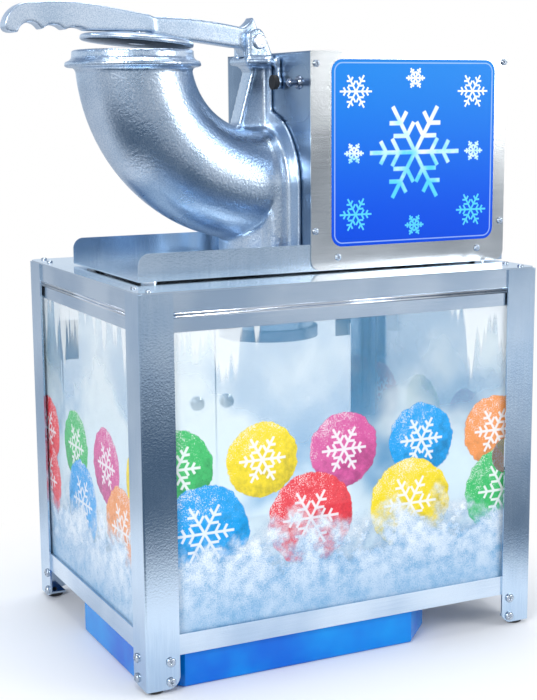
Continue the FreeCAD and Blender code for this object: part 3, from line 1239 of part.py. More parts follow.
plunger_tip, plunger_y, plunger_z = (value(name) for name in
                                     ("plunger_tip", "plunger_y", "plunger_level"))
stem, bullet, travel = (value(name) for name in
                        ("plunger_radius", "plunger_nose", "plunger_travel"))
bush, thread, proud, depth = (value(name) for name in (
    "bushing_radius", "bushing_thread", "bushing_proud", "bushing_depth"))
stem_end = box_left + value("switch_gap")
solid_piece("interlock_plunger", turned(
    [(0, 0), (0, 0.35 * bullet), (0.2 * bullet, 0.75 * bullet), (bullet / 2, bullet),
     (1.25 * bullet, bullet), (1.4 * bullet, stem), (stem_end - plunger_tip, stem),
     (stem_end - plunger_tip, 0)], V(plunger_tip, plunger_y, plunger_z), X_AXIS))
# The bushing's head lies outside the wall, its nut and thread behind it.
solid_piece("plunger_bushing", turned(
    [(-proud, stem + clearance), (-proud, thread - 0.2), (-proud / 2, bush - 0.5), (0, bush),
     (0, thread), (value("pan_sheet"), thread), (value("pan_sheet"), bush), (depth / 2, bush),
     (depth / 2, thread), (depth, thread), (depth, stem + clearance)],
    V(box_left, plunger_y, plunger_z), X_AXIS))
switch_left = box_left + depth
switch_body = block(switch_left, switch_left + 6 * bullet, plunger_y - 2.5 * bullet,
                    plunger_y + 2.5 * bullet, plunger_z - 5 * bullet, plunger_z + 3 * bullet)
solid_piece("interlock_switch", switch_body.cut(
    rod(stem + 0.4, V(switch_left - 1, plunger_y, plunger_z),
        V(stem_end + travel + 1, plunger_y, plunger_z))))

# ---------------------------------------------------------------- checks and files

doc.recompute()
os.makedirs("parts", exist_ok=True)
for piece in PIECES:
    if {"Invalid", "Error"} & set(piece.State):
        raise ValueError(piece.Label + " has failed")
    if piece.Shape.isNull() or not piece.Shape.isValid() or piece.Shape.Volume <= 0:
        raise ValueError(piece.Label + " is not a sound solid")
    piece.Shape.exportStep(f"parts/{piece.Label}.step")
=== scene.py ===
import math

import bmesh
import bpy
import numpy as np
from mathutils import Matrix, Vector


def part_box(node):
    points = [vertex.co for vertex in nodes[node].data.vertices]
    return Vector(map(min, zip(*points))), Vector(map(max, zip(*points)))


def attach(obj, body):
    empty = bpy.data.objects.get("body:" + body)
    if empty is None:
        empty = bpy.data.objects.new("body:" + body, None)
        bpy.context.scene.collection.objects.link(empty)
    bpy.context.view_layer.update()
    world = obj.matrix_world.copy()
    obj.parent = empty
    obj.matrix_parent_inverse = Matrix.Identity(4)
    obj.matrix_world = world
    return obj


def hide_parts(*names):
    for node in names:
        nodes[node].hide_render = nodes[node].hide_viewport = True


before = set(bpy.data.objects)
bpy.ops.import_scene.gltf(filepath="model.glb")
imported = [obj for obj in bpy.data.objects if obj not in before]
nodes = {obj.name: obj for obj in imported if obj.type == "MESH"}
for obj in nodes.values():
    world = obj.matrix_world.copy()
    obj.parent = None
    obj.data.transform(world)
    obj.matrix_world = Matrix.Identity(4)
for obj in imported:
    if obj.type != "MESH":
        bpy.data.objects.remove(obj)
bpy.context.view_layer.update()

# ------------------------------------------------------------------ camera
# A long lens, a little above the roof, looks past the front left corner of the cabinet. The
# picture is 537 pixels wide and 700 high, and the focal length is given in those pixels.
FOCAL_PIXELS, PICTURE_HEIGHT, SENSOR = 1428.96, 700, 36.0
CAMERA_PLACE = (-0.6265, -1.34625, 0.5434)
CAMERA_TURN, CAMERA_DIP, CAMERA_ROLL = -26.0, 9.8, -0.46
camera = bpy.data.objects.new("camera", bpy.data.cameras.new("camera"))
camera.data.sensor_width = SENSOR
camera.data.lens = SENSOR * FOCAL_PIXELS / PICTURE_HEIGHT
camera.data.clip_start = 0.05
camera.matrix_world = (Matrix.Translation(CAMERA_PLACE)
                       @ Matrix.Rotation(math.radians(CAMERA_TURN), 4, "Z")
                       @ Matrix.Rotation(math.radians(90 - CAMERA_DIP), 4, "X")
                       @ Matrix.Rotation(math.radians(CAMERA_ROLL), 4, "Z"))
bpy.context.scene.collection.objects.link(camera)
bpy.context.scene.camera = camera
bpy.context.scene.view_settings.view_transform = "Standard"


# ------------------------------------------------------------------ studio
# A white surround and three soft boxes. Polished metal sees a dark studio instead, with a bright
# wash of light along the horizon, and everything else is lit by an even grey.
class Value:
    """A socket of a finish: Python's operators on it add Math nodes, node() adds any other."""

    def __init__(self, tree, socket=None):
        self.tree = tree
        self.socket = socket

    def node(self, kind, settings=None, sockets=None, output=0):
        """Adds a node: its settings first, then the values or links of its sockets."""
        made = self.tree.nodes.new("ShaderNode" + kind)
        for name, setting in (settings or {}).items():
            if name == "stops":
                ramp = made.color_ramp.elements
                while len(ramp) < len(setting):
                    ramp.new(0.5)
                for stop, (position, colour) in zip(ramp, setting):
                    stop.position, stop.color = position, (*colour, 1)
            else:
                setattr(made, name, setting)
        for name, given in (sockets or {}).items():
            if isinstance(given, Value):
                self.tree.links.new(given.socket, made.inputs[name])
            else:
                made.inputs[name].default_value = given
        return Value(self.tree, made.outputs[output])

    def maths(self, operation, *others):
        """A Math node on this value and the others."""
        return self.node("Math", {"operation": operation}, dict(enumerate((self,) + others)))

    def __add__(self, other):
        return self.maths("ADD", other)

    def __sub__(self, other):
        return self.maths("SUBTRACT", other)

    def __rsub__(self, other):
        return self.node("Math", {"operation": "SUBTRACT"}, {0: other, 1: self})

    def __mul__(self, other):
        return self.maths("MULTIPLY", other)

    def __truediv__(self, other):
        return self.maths("DIVIDE", other)

    def __pow__(self, other):
        return self.maths("POWER", other)

    __radd__ = __add__
    __rmul__ = __mul__

    def step(self, low, high):
        """0 below low, 1 above high and a smooth rise between them."""
        return self.node("MapRange", {"interpolation_type": "SMOOTHSTEP"},
                         {"Value": self, "From Min": low, "From Max": high})

    def blend(self, low, high):
        """A colour between two colours, by this value."""
        low, high = (colour if isinstance(colour, Value) else (*colour, 1)
                     for colour in (low, high))
        # Inputs 6 and 7 and output 2 of a Mix node are its colours.
        return self.node("Mix", {"data_type": "RGBA"}, {0: self, 6: low, 7: high}, 2)

    def parts(self):
        """The three numbers of a vector."""
        split = self.node("SeparateXYZ", None, {0: self}).socket.node
        return [Value(self.tree, output) for output in split.outputs]

    def seen(self, *kinds):
        """1 for rays of those kinds, such as Is Camera Ray, and 0 for the others."""
        path = self.tree.nodes.new("ShaderNodeLightPath")
        total = Value(self.tree, path.outputs[kinds[0]])
        for kind in kinds[1:]:
            total = total.maths("MAXIMUM", Value(self.tree, path.outputs[kind]))
        return total


# The studio's walls from straight down (0) over the horizon (0.5) to straight up (1).
FRONT_WALL = [(0.0, (0.12, 0.18, 0.26)), (0.485, (0.05, 0.08, 0.12)), (0.508, (0.92, 0.95, 1.0)),
              (0.60, (0.96, 0.98, 1.0)), (0.70, (0.40, 0.48, 0.60)), (0.85, (0.16, 0.22, 0.34)),
              (1.0, (0.85, 0.92, 1.0))]
REAR_WALL = [(0.0, (0.25, 0.34, 0.46)), (0.46, (0.42, 0.52, 0.64)), (0.50, (0.80, 0.88, 0.96)),
             (0.62, (0.70, 0.79, 0.90)), (0.78, (0.22, 0.29, 0.42)), (1.0, (0.85, 0.92, 1.0))]
EVEN_LIGHT, WHITE = (0.56, 0.61, 0.68), (1.0, 1.0, 1.0)


def wall(height, stops):
    """The colour of a wall at a height of -1 to 1, taken from its stops."""
    return height.node("ValToRGB", {"stops": stops}, {"Fac": height * 0.5 + 0.5})


world = bpy.data.worlds.new("surround")
bpy.context.scene.world = world
world.use_nodes = True
world.node_tree.nodes.clear()
air = Value(world.node_tree)
along, height = air.node("TexCoord").parts()[1:]
studio = along.step(-0.25, 0.45).blend(wall(height, FRONT_WALL), wall(height, REAR_WALL))
lit = air.seen("Is Glossy Ray").blend(EVEN_LIGHT, studio)
shown = air.seen("Is Camera Ray", "Is Transmission Ray").blend(lit, WHITE)
backlight = shown.node("Background", None, {"Color": shown, "Strength": 1.0})
surround = world.node_tree.nodes.new("ShaderNodeOutputWorld")
world.node_tree.links.new(backlight.socket, surround.inputs["Surface"])


def soft_box(name, place, aim, size, power):
    """A square area lamp that looks at a point."""
    lamp = bpy.data.lights.new(name, "AREA")
    lamp.shape, lamp.size, lamp.energy = "SQUARE", size, power
    holder = bpy.data.objects.new(name, lamp)
    holder.location = place
    holder.rotation_euler = (Vector(aim) - Vector(place)).to_track_quat("-Z", "Y").to_euler()
    bpy.context.scene.collection.objects.link(holder)


soft_box("key_light", (-1.8, -1.4, 1.5), (0, 0, 0.40), 0.8, 30)
soft_box("fill_light", (1.6, -1.7, 1.0), (0, 0, 0.30), 1.0, 16)
soft_box("top_light", (0.1, 0.2, 2.2), (0, 0, 0.40), 1.2, 20)


# ------------------------------------------------------------------ floor
# A pale plain floor that fades to white around the machine. In polished metal it darkens a little
# way off instead, most of it towards the front left, as a dim room would.
def blank_finish(name):
    """A new material with one Principled shader, and the place on the piece in metres."""
    material = bpy.data.materials.new(name)
    material.use_nodes = True
    # Output 3 of Texture Coordinate is Object.
    return material, Value(material.node_tree).node("TexCoord", None, None, 3)


def shade(start, sockets):
    """Sets the numbers and links the values of a finish's Principled shader."""
    shader = start.tree.nodes["Principled BSDF"]
    for name, given in sockets.items():
        if isinstance(given, Value):
            start.tree.links.new(given.socket, shader.inputs[name])
        elif isinstance(given, tuple) and len(given) == 3:
            shader.inputs[name].default_value = (*given, 1)
        else:
            shader.inputs[name].default_value = given


FLOOR_HALF = 6.0
FADE_FROM, FADE_TO = 0.24, 0.46
DUSK_FROM, DUSK_TO, DAWN_FROM, DAWN_TO = 0.40, 0.66, 1.25, 2.2
floor_mesh = bpy.data.meshes.new("floor")
floor_mesh.from_pydata([(-FLOOR_HALF, -FLOOR_HALF, 0), (FLOOR_HALF, -FLOOR_HALF, 0),
                        (FLOOR_HALF, FLOOR_HALF, 0), (-FLOOR_HALF, FLOOR_HALF, 0)], [],
                       [(0, 1, 2, 3)])
floor = bpy.data.objects.new("floor", floor_mesh)
bpy.context.scene.collection.objects.link(floor)
floor_paint, place = blank_finish("floor_paint")
shade(place, {"Base Color": (0.88, 0.885, 0.90), "Roughness": 0.6,
              "Specular IOR Level": 0.2})
paint = Value(place.tree, place.tree.nodes["Principled BSDF"].outputs[0])
white = place.node("Emission", None, {"Color": (1, 1, 1, 1), "Strength": 1.0})
gloom = place.node("Emission", None, {"Color": (0.045, 0.09, 0.15, 1), "Strength": 1.0})
distance = place.node("VectorMath", {"operation": "LENGTH"}, {0: place}, 1)
across, behind = place.parts()[:2]
plain = place.seen("Is Camera Ray", "Is Transmission Ray")
faded = distance.step(FADE_FROM, FADE_TO) * plain
dusk = distance.step(DUSK_FROM, DUSK_TO) * (1 - distance.step(DAWN_FROM, DAWN_TO) * 0.75)
dusk = dusk * (1 - behind.step(-0.2, 0.4) * 0.65) * (1 - across.step(0.25, 0.9) * 0.45)
mirrored = dusk * place.seen("Is Glossy Ray") * (1 - plain)
mixed = faded.node("MixShader", None, {0: faded, 1: paint, 2: white})
mixed = mirrored.node("MixShader", None, {0: mirrored, 1: mixed, 2: gloom})
place.tree.links.new(mixed.socket, place.tree.nodes["Material Output"].inputs["Surface"])
floor.data.materials.append(floor_paint)


# ------------------------------------------------------------------ angle legs
# Four corner legs, each an angle folded from galvanised sheet with rounded lower corners. The sheet
# is satin, with a soft orange peel and a cool, cloudy sheen.
def noise(place, scale, detail=2.0, stretch=(1, 1, 1), roughness=0.5):
    """Smooth noise about 0.5 at a number of features per metre, stretched along the axes."""
    stretched = place.node("Mapping", None, {"Vector": place, "Scale": stretch})
    return stretched.node("TexNoise", None, {"Vector": stretched, "Scale": scale,
                                             "Detail": detail, "Roughness": roughness})


def bumps(height_value, distance_metres, strength=1.0):
    """A normal that follows a height of 0 to 1 over that distance."""
    return height_value.node("Bump", None, {"Height": height_value, "Strength": strength,
                                            "Distance": distance_metres})


# Features per metre of a sheet's clouds of tone, brush lines and orange peel.
CLOUDS_PER_METRE, LINES_PER_METRE, PEEL_PER_METRE = 9, 900, 520


def sheet_metal(name, dark, light, roughness, grain, peel=0.00004, brush=0.0):
    """Sheet steel: cloudy tone, fine peel and brush lines along one axis (grain).

    The tone is four parts clouds to one part lines. The roughness swings about its value by 0.06
    with the clouds and by half the brush with the lines.
    """
    material, place = blank_finish(name)
    clouds = noise(place, CLOUDS_PER_METRE, 3.0)
    lines = noise(place, LINES_PER_METRE, 2.0, grain)
    peeling = noise(place, PEEL_PER_METRE, 1.5)
    tone = (clouds * 0.8 + lines * 0.2).step(0.35, 0.65)
    shade(place, {"Metallic": 1.0, "Base Color": tone.blend(dark, light),
                  "Roughness": clouds * 0.12 + lines * brush + (roughness - 0.06 - brush / 2),
                  "Normal": bumps(peeling + lines * (brush * 2), peel)})
    return material


def finish(material, *members):
    """Gives CAD pieces their material."""
    for member in members:
        data = nodes[member].data
        data.materials.clear()
        data.materials.append(material)


GRAIN_X, GRAIN_Y, GRAIN_Z = (0.02, 1, 1), (1, 0.02, 1), (1, 1, 0.03)
leg_steel = sheet_metal("leg_steel", (0.42, 0.56, 0.72), (0.62, 0.74, 0.86), 0.18, GRAIN_Z,
                        peel=0.00008)
finish(leg_steel, "leg_front_left", "leg_front_right", "leg_rear_left", "leg_rear_right")


# ------------------------------------------------------------------ leg screws
# Pan head screws of zinc plated steel with a cross recess, two near the foot of each flange of
# each leg. They are driven home one by one, so each recess stands at its own angle.
def grid(rows, columns, around):
    """Quads between neighbouring points of a grid; around joins the last column to the first."""
    last = columns if around else columns - 1
    row, column = np.meshgrid(np.arange(rows - 1), np.arange(last), indexing="ij")
    right = (column + 1) % columns
    return np.stack([row * columns + column, row * columns + right,
                     (row + 1) * columns + right, (row + 1) * columns + column],
                    -1).reshape(-1, 4)


def add_piece(name, places, faces, material, body, smooth=True):
    """A mesh piece from an array of places and a list of faces, which rides on a body."""
    mesh = bpy.data.meshes.new(name)
    mesh.from_pydata(places.reshape(-1, 3).tolist(), [], faces)
    shape = bmesh.new()
    shape.from_mesh(mesh)
    bmesh.ops.recalc_face_normals(shape, faces=shape.faces)
    shape.to_mesh(mesh)
    shape.free()
    mesh.polygons.foreach_set("use_smooth", [smooth] * len(mesh.polygons))
    mesh.materials.append(material)
    piece = bpy.data.objects.new(name, mesh)
    bpy.context.scene.collection.objects.link(piece)
    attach(piece, body)


def facing(normal):
    """A matrix whose third column is a direction, to stand things on a wall."""
    return np.array(Vector(normal).to_track_quat("Z", "Y").to_matrix())


# A head's rings from its seat to its recess, as shares of its radius and of its height.
HEAD_SIDES = 48
HEAD_RINGS = [(1.0, 0.0), (1.0, 0.35), (0.95, 0.62), (0.82, 0.84), (0.66, 0.96)]
RECESS_SLOT, RECESS_ARM = 0.13, 0.52
RECESS_LEVELS = [1.0, 0.35, 0.3]


def screw_head(radius, height):
    """Pan head with a cross recess, as rings about its own axis.

    Each ring is a radius times the unit circle; the recess rings use the outline of a plus sign,
    min(arm / cos t, slot / sin t) with t folded into one eighth of a turn.
    """
    turn = np.linspace(0, 2 * math.pi, HEAD_SIDES, endpoint=False)
    fold = np.abs((turn + math.pi / 4) % (math.pi / 2) - math.pi / 4)
    plus = np.minimum(RECESS_ARM * radius / np.cos(fold),
                      RECESS_SLOT * radius / np.maximum(np.sin(fold), 1e-6))
    radii = [np.full_like(turn, radius * share) for share, _ in HEAD_RINGS]
    radii = np.array(radii + [plus, 0.9 * plus, np.zeros_like(turn)])
    shares = [share for _, share in HEAD_RINGS] + RECESS_LEVELS
    levels = np.broadcast_to(height * np.array(shares)[:, None], radii.shape)
    places = np.stack([radii * np.cos(turn), radii * np.sin(turn), levels], -1)
    return places, grid(len(places), HEAD_SIDES, True)


def screws(name, seats, radius, height, material):
    """One piece of several screw heads; each seat is its place and the way it faces."""
    places, faces = screw_head(radius, height)
    rng = np.random.default_rng(len(name))
    heads, quads = [], []
    for number, (seat, normal) in enumerate(seats):
        spin = rng.uniform(0, math.pi / 2)
        turned = places @ np.array(Matrix.Rotation(spin, 3, "Z")).T @ facing(normal).T
        heads.append((turned + np.array(seat)).reshape(-1, 3))
        quads.append(faces + number * heads[-1].shape[0])
    add_piece(name, np.concatenate(heads), np.concatenate(quads).tolist(), material, "machine")


def mottled(name, metal, tones, tone_scale, least, more, gloss_scale, relief=None):
    """A finish of two tones and a roughness that each follow a noise.

    The roughness is the least plus the noise times more. Relief is a number of bumps per metre
    and their height in metres.
    """
    material, place = blank_finish(name)
    sockets = {"Metallic": metal, "Base Color": noise(place, tone_scale).blend(*tones),
               "Roughness": noise(place, gloss_scale) * more + least}
    if relief:
        sockets["Normal"] = bumps(noise(place, relief[0]), relief[1])
    shade(place, sockets)
    return material


screw_zinc = mottled("screw_zinc", 1.0, ((0.34, 0.40, 0.48), (0.62, 0.68, 0.75)), 500,
                     0.14, 0.15, 900)
# The roof plate covers the whole cabinet, so its corners give the cabinet's faces.
cabinet_low, cabinet_high = (Vector(corner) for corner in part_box("roof_plate"))
leg_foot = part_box("leg_front_left")[0].z
LEG_HEAD_RADIUS, LEG_HEAD_HEIGHT = 0.0047, 0.0028
LEG_SCREW_IN, LEG_SCREW_LEVELS = 0.0243, (0.0069, 0.0266)
leg_seats = []
for level in LEG_SCREW_LEVELS:
    z = leg_foot + level
    for x in (cabinet_low.x + LEG_SCREW_IN, cabinet_high.x - LEG_SCREW_IN):
        leg_seats.append(((x, cabinet_low.y, z), (0, -1, 0)))
        leg_seats.append(((x, cabinet_high.y, z), (0, 1, 0)))
    for y in (cabinet_low.y + LEG_SCREW_IN, cabinet_high.y - LEG_SCREW_IN):
        leg_seats.append(((cabinet_low.x, y, z), (-1, 0, 0)))
        leg_seats.append(((cabinet_high.x, y, z), (1, 0, 0)))
screws("leg_screws", leg_seats, LEG_HEAD_RADIUS, LEG_HEAD_HEIGHT, screw_zinc)

# ------------------------------------------------------------------ feet, pad and seal
# Black rubber, moulded with a fine grit: four feet that snap into the legs' tabs, the round pad on
# the head's hanging arm, and the seal about the blades' shaft. The pad's black is partly a painted
# reflection: it also stands for the dark room mirrored in the arm's round end.
rubber, place = blank_finish("black_rubber")
grit = noise(place, 1400, 3.0)
shade(place, {"Base Color": noise(place, 60).blend((0.012, 0.012, 0.013), (0.030, 0.030, 0.032)),
              "Roughness": grit * 0.2 + 0.55, "Normal": bumps(grit, 0.00005)})
# On the stop pad the black is partly a painted reflection of the dark room.
finish(rubber, "feet", "stop_pad", "shaft_seal")

# ------------------------------------------------------------------ folded rails
# Four top and four bottom rails stand between the legs. They are folded from the same galvanised
# sheet, with a channel for the panes, and their brush lines run along them.
RAIL_DARK, RAIL_LIGHT = (0.46, 0.58, 0.72), (0.70, 0.79, 0.88)
rail_steel_x = sheet_metal("rail_steel_x", RAIL_DARK, RAIL_LIGHT, 0.22, GRAIN_X, brush=0.06)
rail_steel_y = sheet_metal("rail_steel_y", RAIL_DARK, RAIL_LIGHT, 0.22, GRAIN_Y, brush=0.06)
for side, metal in (("front", rail_steel_x), ("rear", rail_steel_x),
                    ("left", rail_steel_y), ("right", rail_steel_y)):
    finish(metal, f"top_rail_{side}", f"bottom_rail_{side}")

# ------------------------------------------------------------------ beads on the top rails
# Two fine beads are rolled along each top rail, where its lower band steps in. They are part of the
# same sheet; they are coloured a little lighter than the bands beside them, a painted highlight.
BAR_SIDES = 12


def bars(name, ends, radius, material):
    """One piece of straight round bars: a ring of points about each end, and flat end faces."""
    turn = np.linspace(0, 2 * math.pi, BAR_SIDES, endpoint=False)
    circle = radius * np.stack([np.cos(turn), np.sin(turn), np.zeros_like(turn)], -1)
    places, faces = [], []
    for number, (start, end) in enumerate(np.array(ends)):
        ring = circle @ facing(end - start).T
        places += [ring + start, ring + end]
        first = 2 * BAR_SIDES * number
        near = np.arange(first, first + BAR_SIDES)
        faces += (grid(2, BAR_SIDES, True) + first).tolist()
        faces += [near.tolist(), (near + BAR_SIDES).tolist()]
    add_piece(name, np.concatenate(places), faces, material, "machine")


def at(x, y, z):
    """A place from millimetres right of the cabinet's left face, behind its front, and up."""
    return (cabinet_low.x + x / 1000, cabinet_low.y + y / 1000, z / 1000)


# Lighter than the rails' own sheet: the beads' colour is a painted highlight.
bead_painted_highlight = mottled("bead_painted_highlight", 1.0, ((0.72, 0.76, 0.82), (0.88, 0.90, 0.93)), 60,
                     0.14, 0.1, 300)
WIDTH, DEPTH = 1000 * (cabinet_high - cabinet_low).x, 1000 * (cabinet_high - cabinet_low).y
BEAD_RADIUS, BEAD_DEPTH, BEAD_ENDS, BEAD_LEVELS = 1.4, 2.4, 34.2, (357.4, 354.4)
bead_ends = []
for z in BEAD_LEVELS:
    for y in (BEAD_DEPTH, DEPTH - BEAD_DEPTH):
        bead_ends.append((at(BEAD_ENDS, y, z), at(WIDTH - BEAD_ENDS, y, z)))
    for x in (BEAD_DEPTH, WIDTH - BEAD_DEPTH):
        bead_ends.append((at(x, BEAD_ENDS, z), at(x, DEPTH - BEAD_ENDS, z)))
bars("rail_beads", bead_ends, BEAD_RADIUS / 1000, bead_painted_highlight)

# ------------------------------------------------------------------ panes and doors
# Three fixed panes and two doors, cut from clear acrylic sheet with polished edges. The panes stand
# in the rails' channels, and the doors hang on the rear legs.
clear, place = blank_finish("clear_acrylic")
shade(place, {"Base Color": (0.97, 0.99, 1.0), "Transmission Weight": 1.0, "IOR": 1.49,
              "Roughness": noise(place, 12).step(0.4, 0.9) * 0.05})
finish(clear, "glass_front", "glass_left", "glass_right", "door_left", "door_right")


# ------------------------------------------------------------------ printed films on the panes
# Thin printed films, glued to the outside of the front, left and right panes: frosty haze with
# ice hanging at the top, two rows of coloured ice balls with snowflakes, and snow at the bottom.
def slab(name, outline, near, far, along, material):
    """A thin flat sheet: an outline of (run, height) at two depths, joined by a rim.

    The run goes along X (0) or Y (1) and the depth along the other. All are millimetres from the
    cabinet's left, front and foot.
    """
    count = len(outline)
    run, height = np.array(outline).T
    sides = []
    for depth in (near, far):
        level = np.full(count, depth)
        sides.append(np.stack(at(run, level, height) if along == 0 else at(level, run, height), -1))
    ring = np.arange(count)
    after = np.roll(ring, -1)
    rim = np.stack([ring + count, after + count, after, ring], -1)
    faces = [ring.tolist(), (ring[::-1] + count).tolist(), *rim.tolist()]
    add_piece(name, np.concatenate(sides), faces, material, "machine", smooth=False)


def arc(middle, radius, first, last, count):
    """Points of an arc: its middle plus its radius times the cosine and sine of even turns."""
    turn = np.linspace(first, last, count)
    return np.stack([middle[0] + radius * np.cos(turn), middle[1] + radius * np.sin(turn)], -1)


def below(value, limit, soft):
    """1 where a value is below a limit, with a soft edge."""
    return 1 - value.step(limit - soft, limit + soft)


# The side branches of a snowflake's arm: how far out they start, and how long, as shares of it.
BRANCHES = ((0.36, 0.30), (0.64, 0.25))


def flake(u, v, size, line):
    """1 on a plain snowflake: six arms with two pairs of side branches, folded into one twelfth.

    U and v are metres right of its middle and up. With the angle folded to 0..30 degrees,
    p = r cos a runs along the arm and q = r sin a beside it. A branch from p0 is
    |(p - p0) sin 60 - q cos 60| < line, up to a length along itself.
    """
    reach = (u * u + v * v) ** 0.5
    fold = v.maths("ARCTAN2", u).maths("PINGPONG", math.pi / 6)
    p, q = reach * fold.maths("COSINE"), reach * fold.maths("SINE")
    soft = 0.3 * line
    drawn = below(q, line, soft) * below(p, size, soft)
    for share, length in BRANCHES:
        out = p - share * size
        beside = (out * math.sin(math.pi / 3) - q * 0.5).maths("ABSOLUTE")
        ahead = out * 0.5 + q * math.sin(math.pi / 3)
        branch = below(beside, line, soft) * below(ahead, length * size, soft)
        drawn = drawn.maths("MAXIMUM", branch * ahead.step(-line, 0))
    return drawn


# Metres above the worktop: the snow's level, and a level above the film that the ice hangs from.
SNOW_LEVEL, ICE_LEVEL = 0.140, 0.475
DOWNWARDS = (1, 1, 0.0)


def frosty_haze(place, run, height, bare):
    """Colour and cover of the haze, thickest over the snow, with ice hanging from the top edge.

    The ice hangs by two noises of the run alone. It shrinks towards the place called bare, from
    110 mm away to none at 50 mm.
    """
    clouds = noise(place, 11, 3.0)
    fog = 1 - height.step(SNOW_LEVEL + 0.03, SNOW_LEVEL + 0.17)
    colour = (clouds + fog * 0.12).step(0.38, 0.66).blend((0.12, 0.42, 0.72), (0.78, 0.93, 1.0))
    cover = clouds * 0.35 + 0.28 + fog * 0.40
    hanging = noise(place, 70, 2.0, DOWNWARDS) * 0.22 + noise(place, 9, 1.0, DOWNWARDS) * 0.10
    iced = (run - bare).maths("ABSOLUTE").step(0.05, 0.11)
    ice = (height - ICE_LEVEL + hanging * iced).step(0.0, 0.020)
    return ice.blend(colour, (0.93, 0.98, 1.0)), cover.maths("MAXIMUM", ice * 0.75)


def ball_row(place, run, height, grain, pitch, radius, level, shift, colours):
    """Mask and colour of a row of ice balls, one in the middle of each pitch of the run.

    The run divided by the pitch, plus the shift, is a ball's number and with it its colour. Noise
    dents the edge, the shadow grows away from the upper left, frost lies towards it, and a white
    snowflake of two thirds of the ball stands in the middle.
    """
    cell = run / pitch + shift
    number = cell.maths("FLOOR")
    u, v = (cell - number - 0.5) * pitch, height - level
    dents = noise(place, 95, 3.0) * 0.008 - 0.004
    ball = below((u * u + v * v) ** 0.5 + dents, radius, 0.0007)
    stops = [((index + 0.5) / len(colours), colour) for index, colour in enumerate(colours)]
    hue = number.node("ValToRGB", {"stops": stops}, {"Fac": (number + 0.5) / len(colours)})
    sunny = (v * 0.9 - u * 0.45) / radius
    lumps = noise(place, 130, 4.0, roughness=0.6)
    shadow = ((1 - sunny) * 0.5 + (0.5 - lumps) * 2.0).step(0.35, 1.3)
    frost = (grain * 0.9 + lumps * 0.5 + sunny * 0.16).step(0.80, 1.02)
    hue = (shadow * 0.4).blend(hue, (0.0, 0.0, 0.02))
    hue = (frost * 0.8).blend(hue, WHITE)
    hue = (flake(u, v, 0.66 * radius, 0.0013) * 0.85).blend(hue, WHITE)
    return ball, hue


def snow_bank(place, height, grain):
    """Mask and colour of the snow: a noise drifts about its level, and it is bluer at its foot."""
    drift = noise(place, 24, 5.0, roughness=0.65)
    bank = (SNOW_LEVEL - height + (drift - 0.5) * 0.16).step(-0.012, 0.026)
    tone = (drift * 0.36 + noise(place, 90, 5.0) * 0.3 + grain * 0.34).step(0.36, 0.62)
    tone = tone * ((height / SNOW_LEVEL).step(0.25, 0.95) * 0.7 + 0.3)
    return bank, tone.blend((0.18, 0.42, 0.68), (0.92, 0.97, 1.0))


def film(name, along, first, rows, bare=-1.0):
    """The print of a pane: the haze and its ice, over it the balls, and over them the snow.

    Along is 0 or 1 for a run along X or Y that starts at first. Bare is a place on the run that
    no ice hangs at, and as given here it lies far off the pane.
    """
    material, place = blank_finish(name)
    sides = place.parts()
    run, height = sides[along] - first, sides[2]
    grain = noise(place, 800, 3.0)
    colour, cover = frosty_haze(place, run, height, bare)
    for row in rows:
        ball, hue = ball_row(place, run, height, grain, *row)
        colour, cover = ball.blend(colour, hue), cover.maths("MAXIMUM", ball * 0.97)
    bank, snow_tone = snow_bank(place, height, grain)
    colour, cover = bank.blend(colour, snow_tone), cover.maths("MAXIMUM", bank * 0.98)
    # The sheet has two faces, so each lets the root of what passes through both.
    shade(place, {"Base Color": colour, "Alpha": 1 - (1 - cover) ** 0.5,
                  "Roughness": grain * 0.2 + 0.20, "Coat Weight": 0.3,
                  "Normal": bumps(grain, 0.00002)})
    return material


YELLOW, RED, BLUE = (1.0, 0.78, 0.01), (0.92, 0.05, 0.07), (0.0, 0.40, 0.88)
GREEN, PINK, ORANGE = (0.05, 0.58, 0.16), (0.78, 0.12, 0.38), (0.98, 0.36, 0.10)
# Each row: the pitch, radius and level of its balls in metres, its shift, and their colours.
FRONT_ROWS = [(0.088, 0.037, 0.212, 0.10, (GREEN, YELLOW, PINK, BLUE, ORANGE)),
              (0.112, 0.046, 0.148, -0.06, (BLUE, RED, YELLOW, GREEN))]
SIDE_ROWS = [(0.092, 0.037, 0.196, 0.30, (YELLOW, PINK, GREEN, RED)),
             (0.116, 0.044, 0.140, -0.10, (ORANGE, BLUE, RED))]
FRONT_BARE = 0.225
front_film = film("front_film", 0, cabinet_low.x, FRONT_ROWS, FRONT_BARE)
side_film = film("side_film", 1, cabinet_low.y, SIDE_ROWS)

# The front film leaves the pane's round finger notch free, at its right edge.
FILM_NEAR, FILM_FAR, FILM_EDGE, FILM_LOW, FILM_HIGH = 4.85, 5.05, 21.0, 46.0, 340.0
NOTCH_MIDDLE, NOTCH_RADIUS, NOTCH_POINTS = (403.0, 184.0), 18.5, 40
front_right = WIDTH - FILM_EDGE
opening = math.acos((front_right - NOTCH_MIDDLE[0]) / NOTCH_RADIUS)
notch = arc(NOTCH_MIDDLE, NOTCH_RADIUS, -opening, opening - 2 * math.pi, NOTCH_POINTS)
front_outline = [(FILM_EDGE, FILM_LOW), (front_right, FILM_LOW), *notch,
                 (front_right, FILM_HIGH), (FILM_EDGE, FILM_HIGH)]
side_outline = [(FILM_EDGE, FILM_LOW), (DEPTH - FILM_EDGE, FILM_LOW),
                (DEPTH - FILM_EDGE, FILM_HIGH), (FILM_EDGE, FILM_HIGH)]
slab("front_print", front_outline, FILM_NEAR, FILM_FAR, 0, front_film)
slab("left_print", side_outline, FILM_FAR, FILM_NEAR, 1, side_film)
slab("right_print", side_outline, WIDTH - FILM_NEAR, WIDTH - FILM_FAR, 1, side_film)

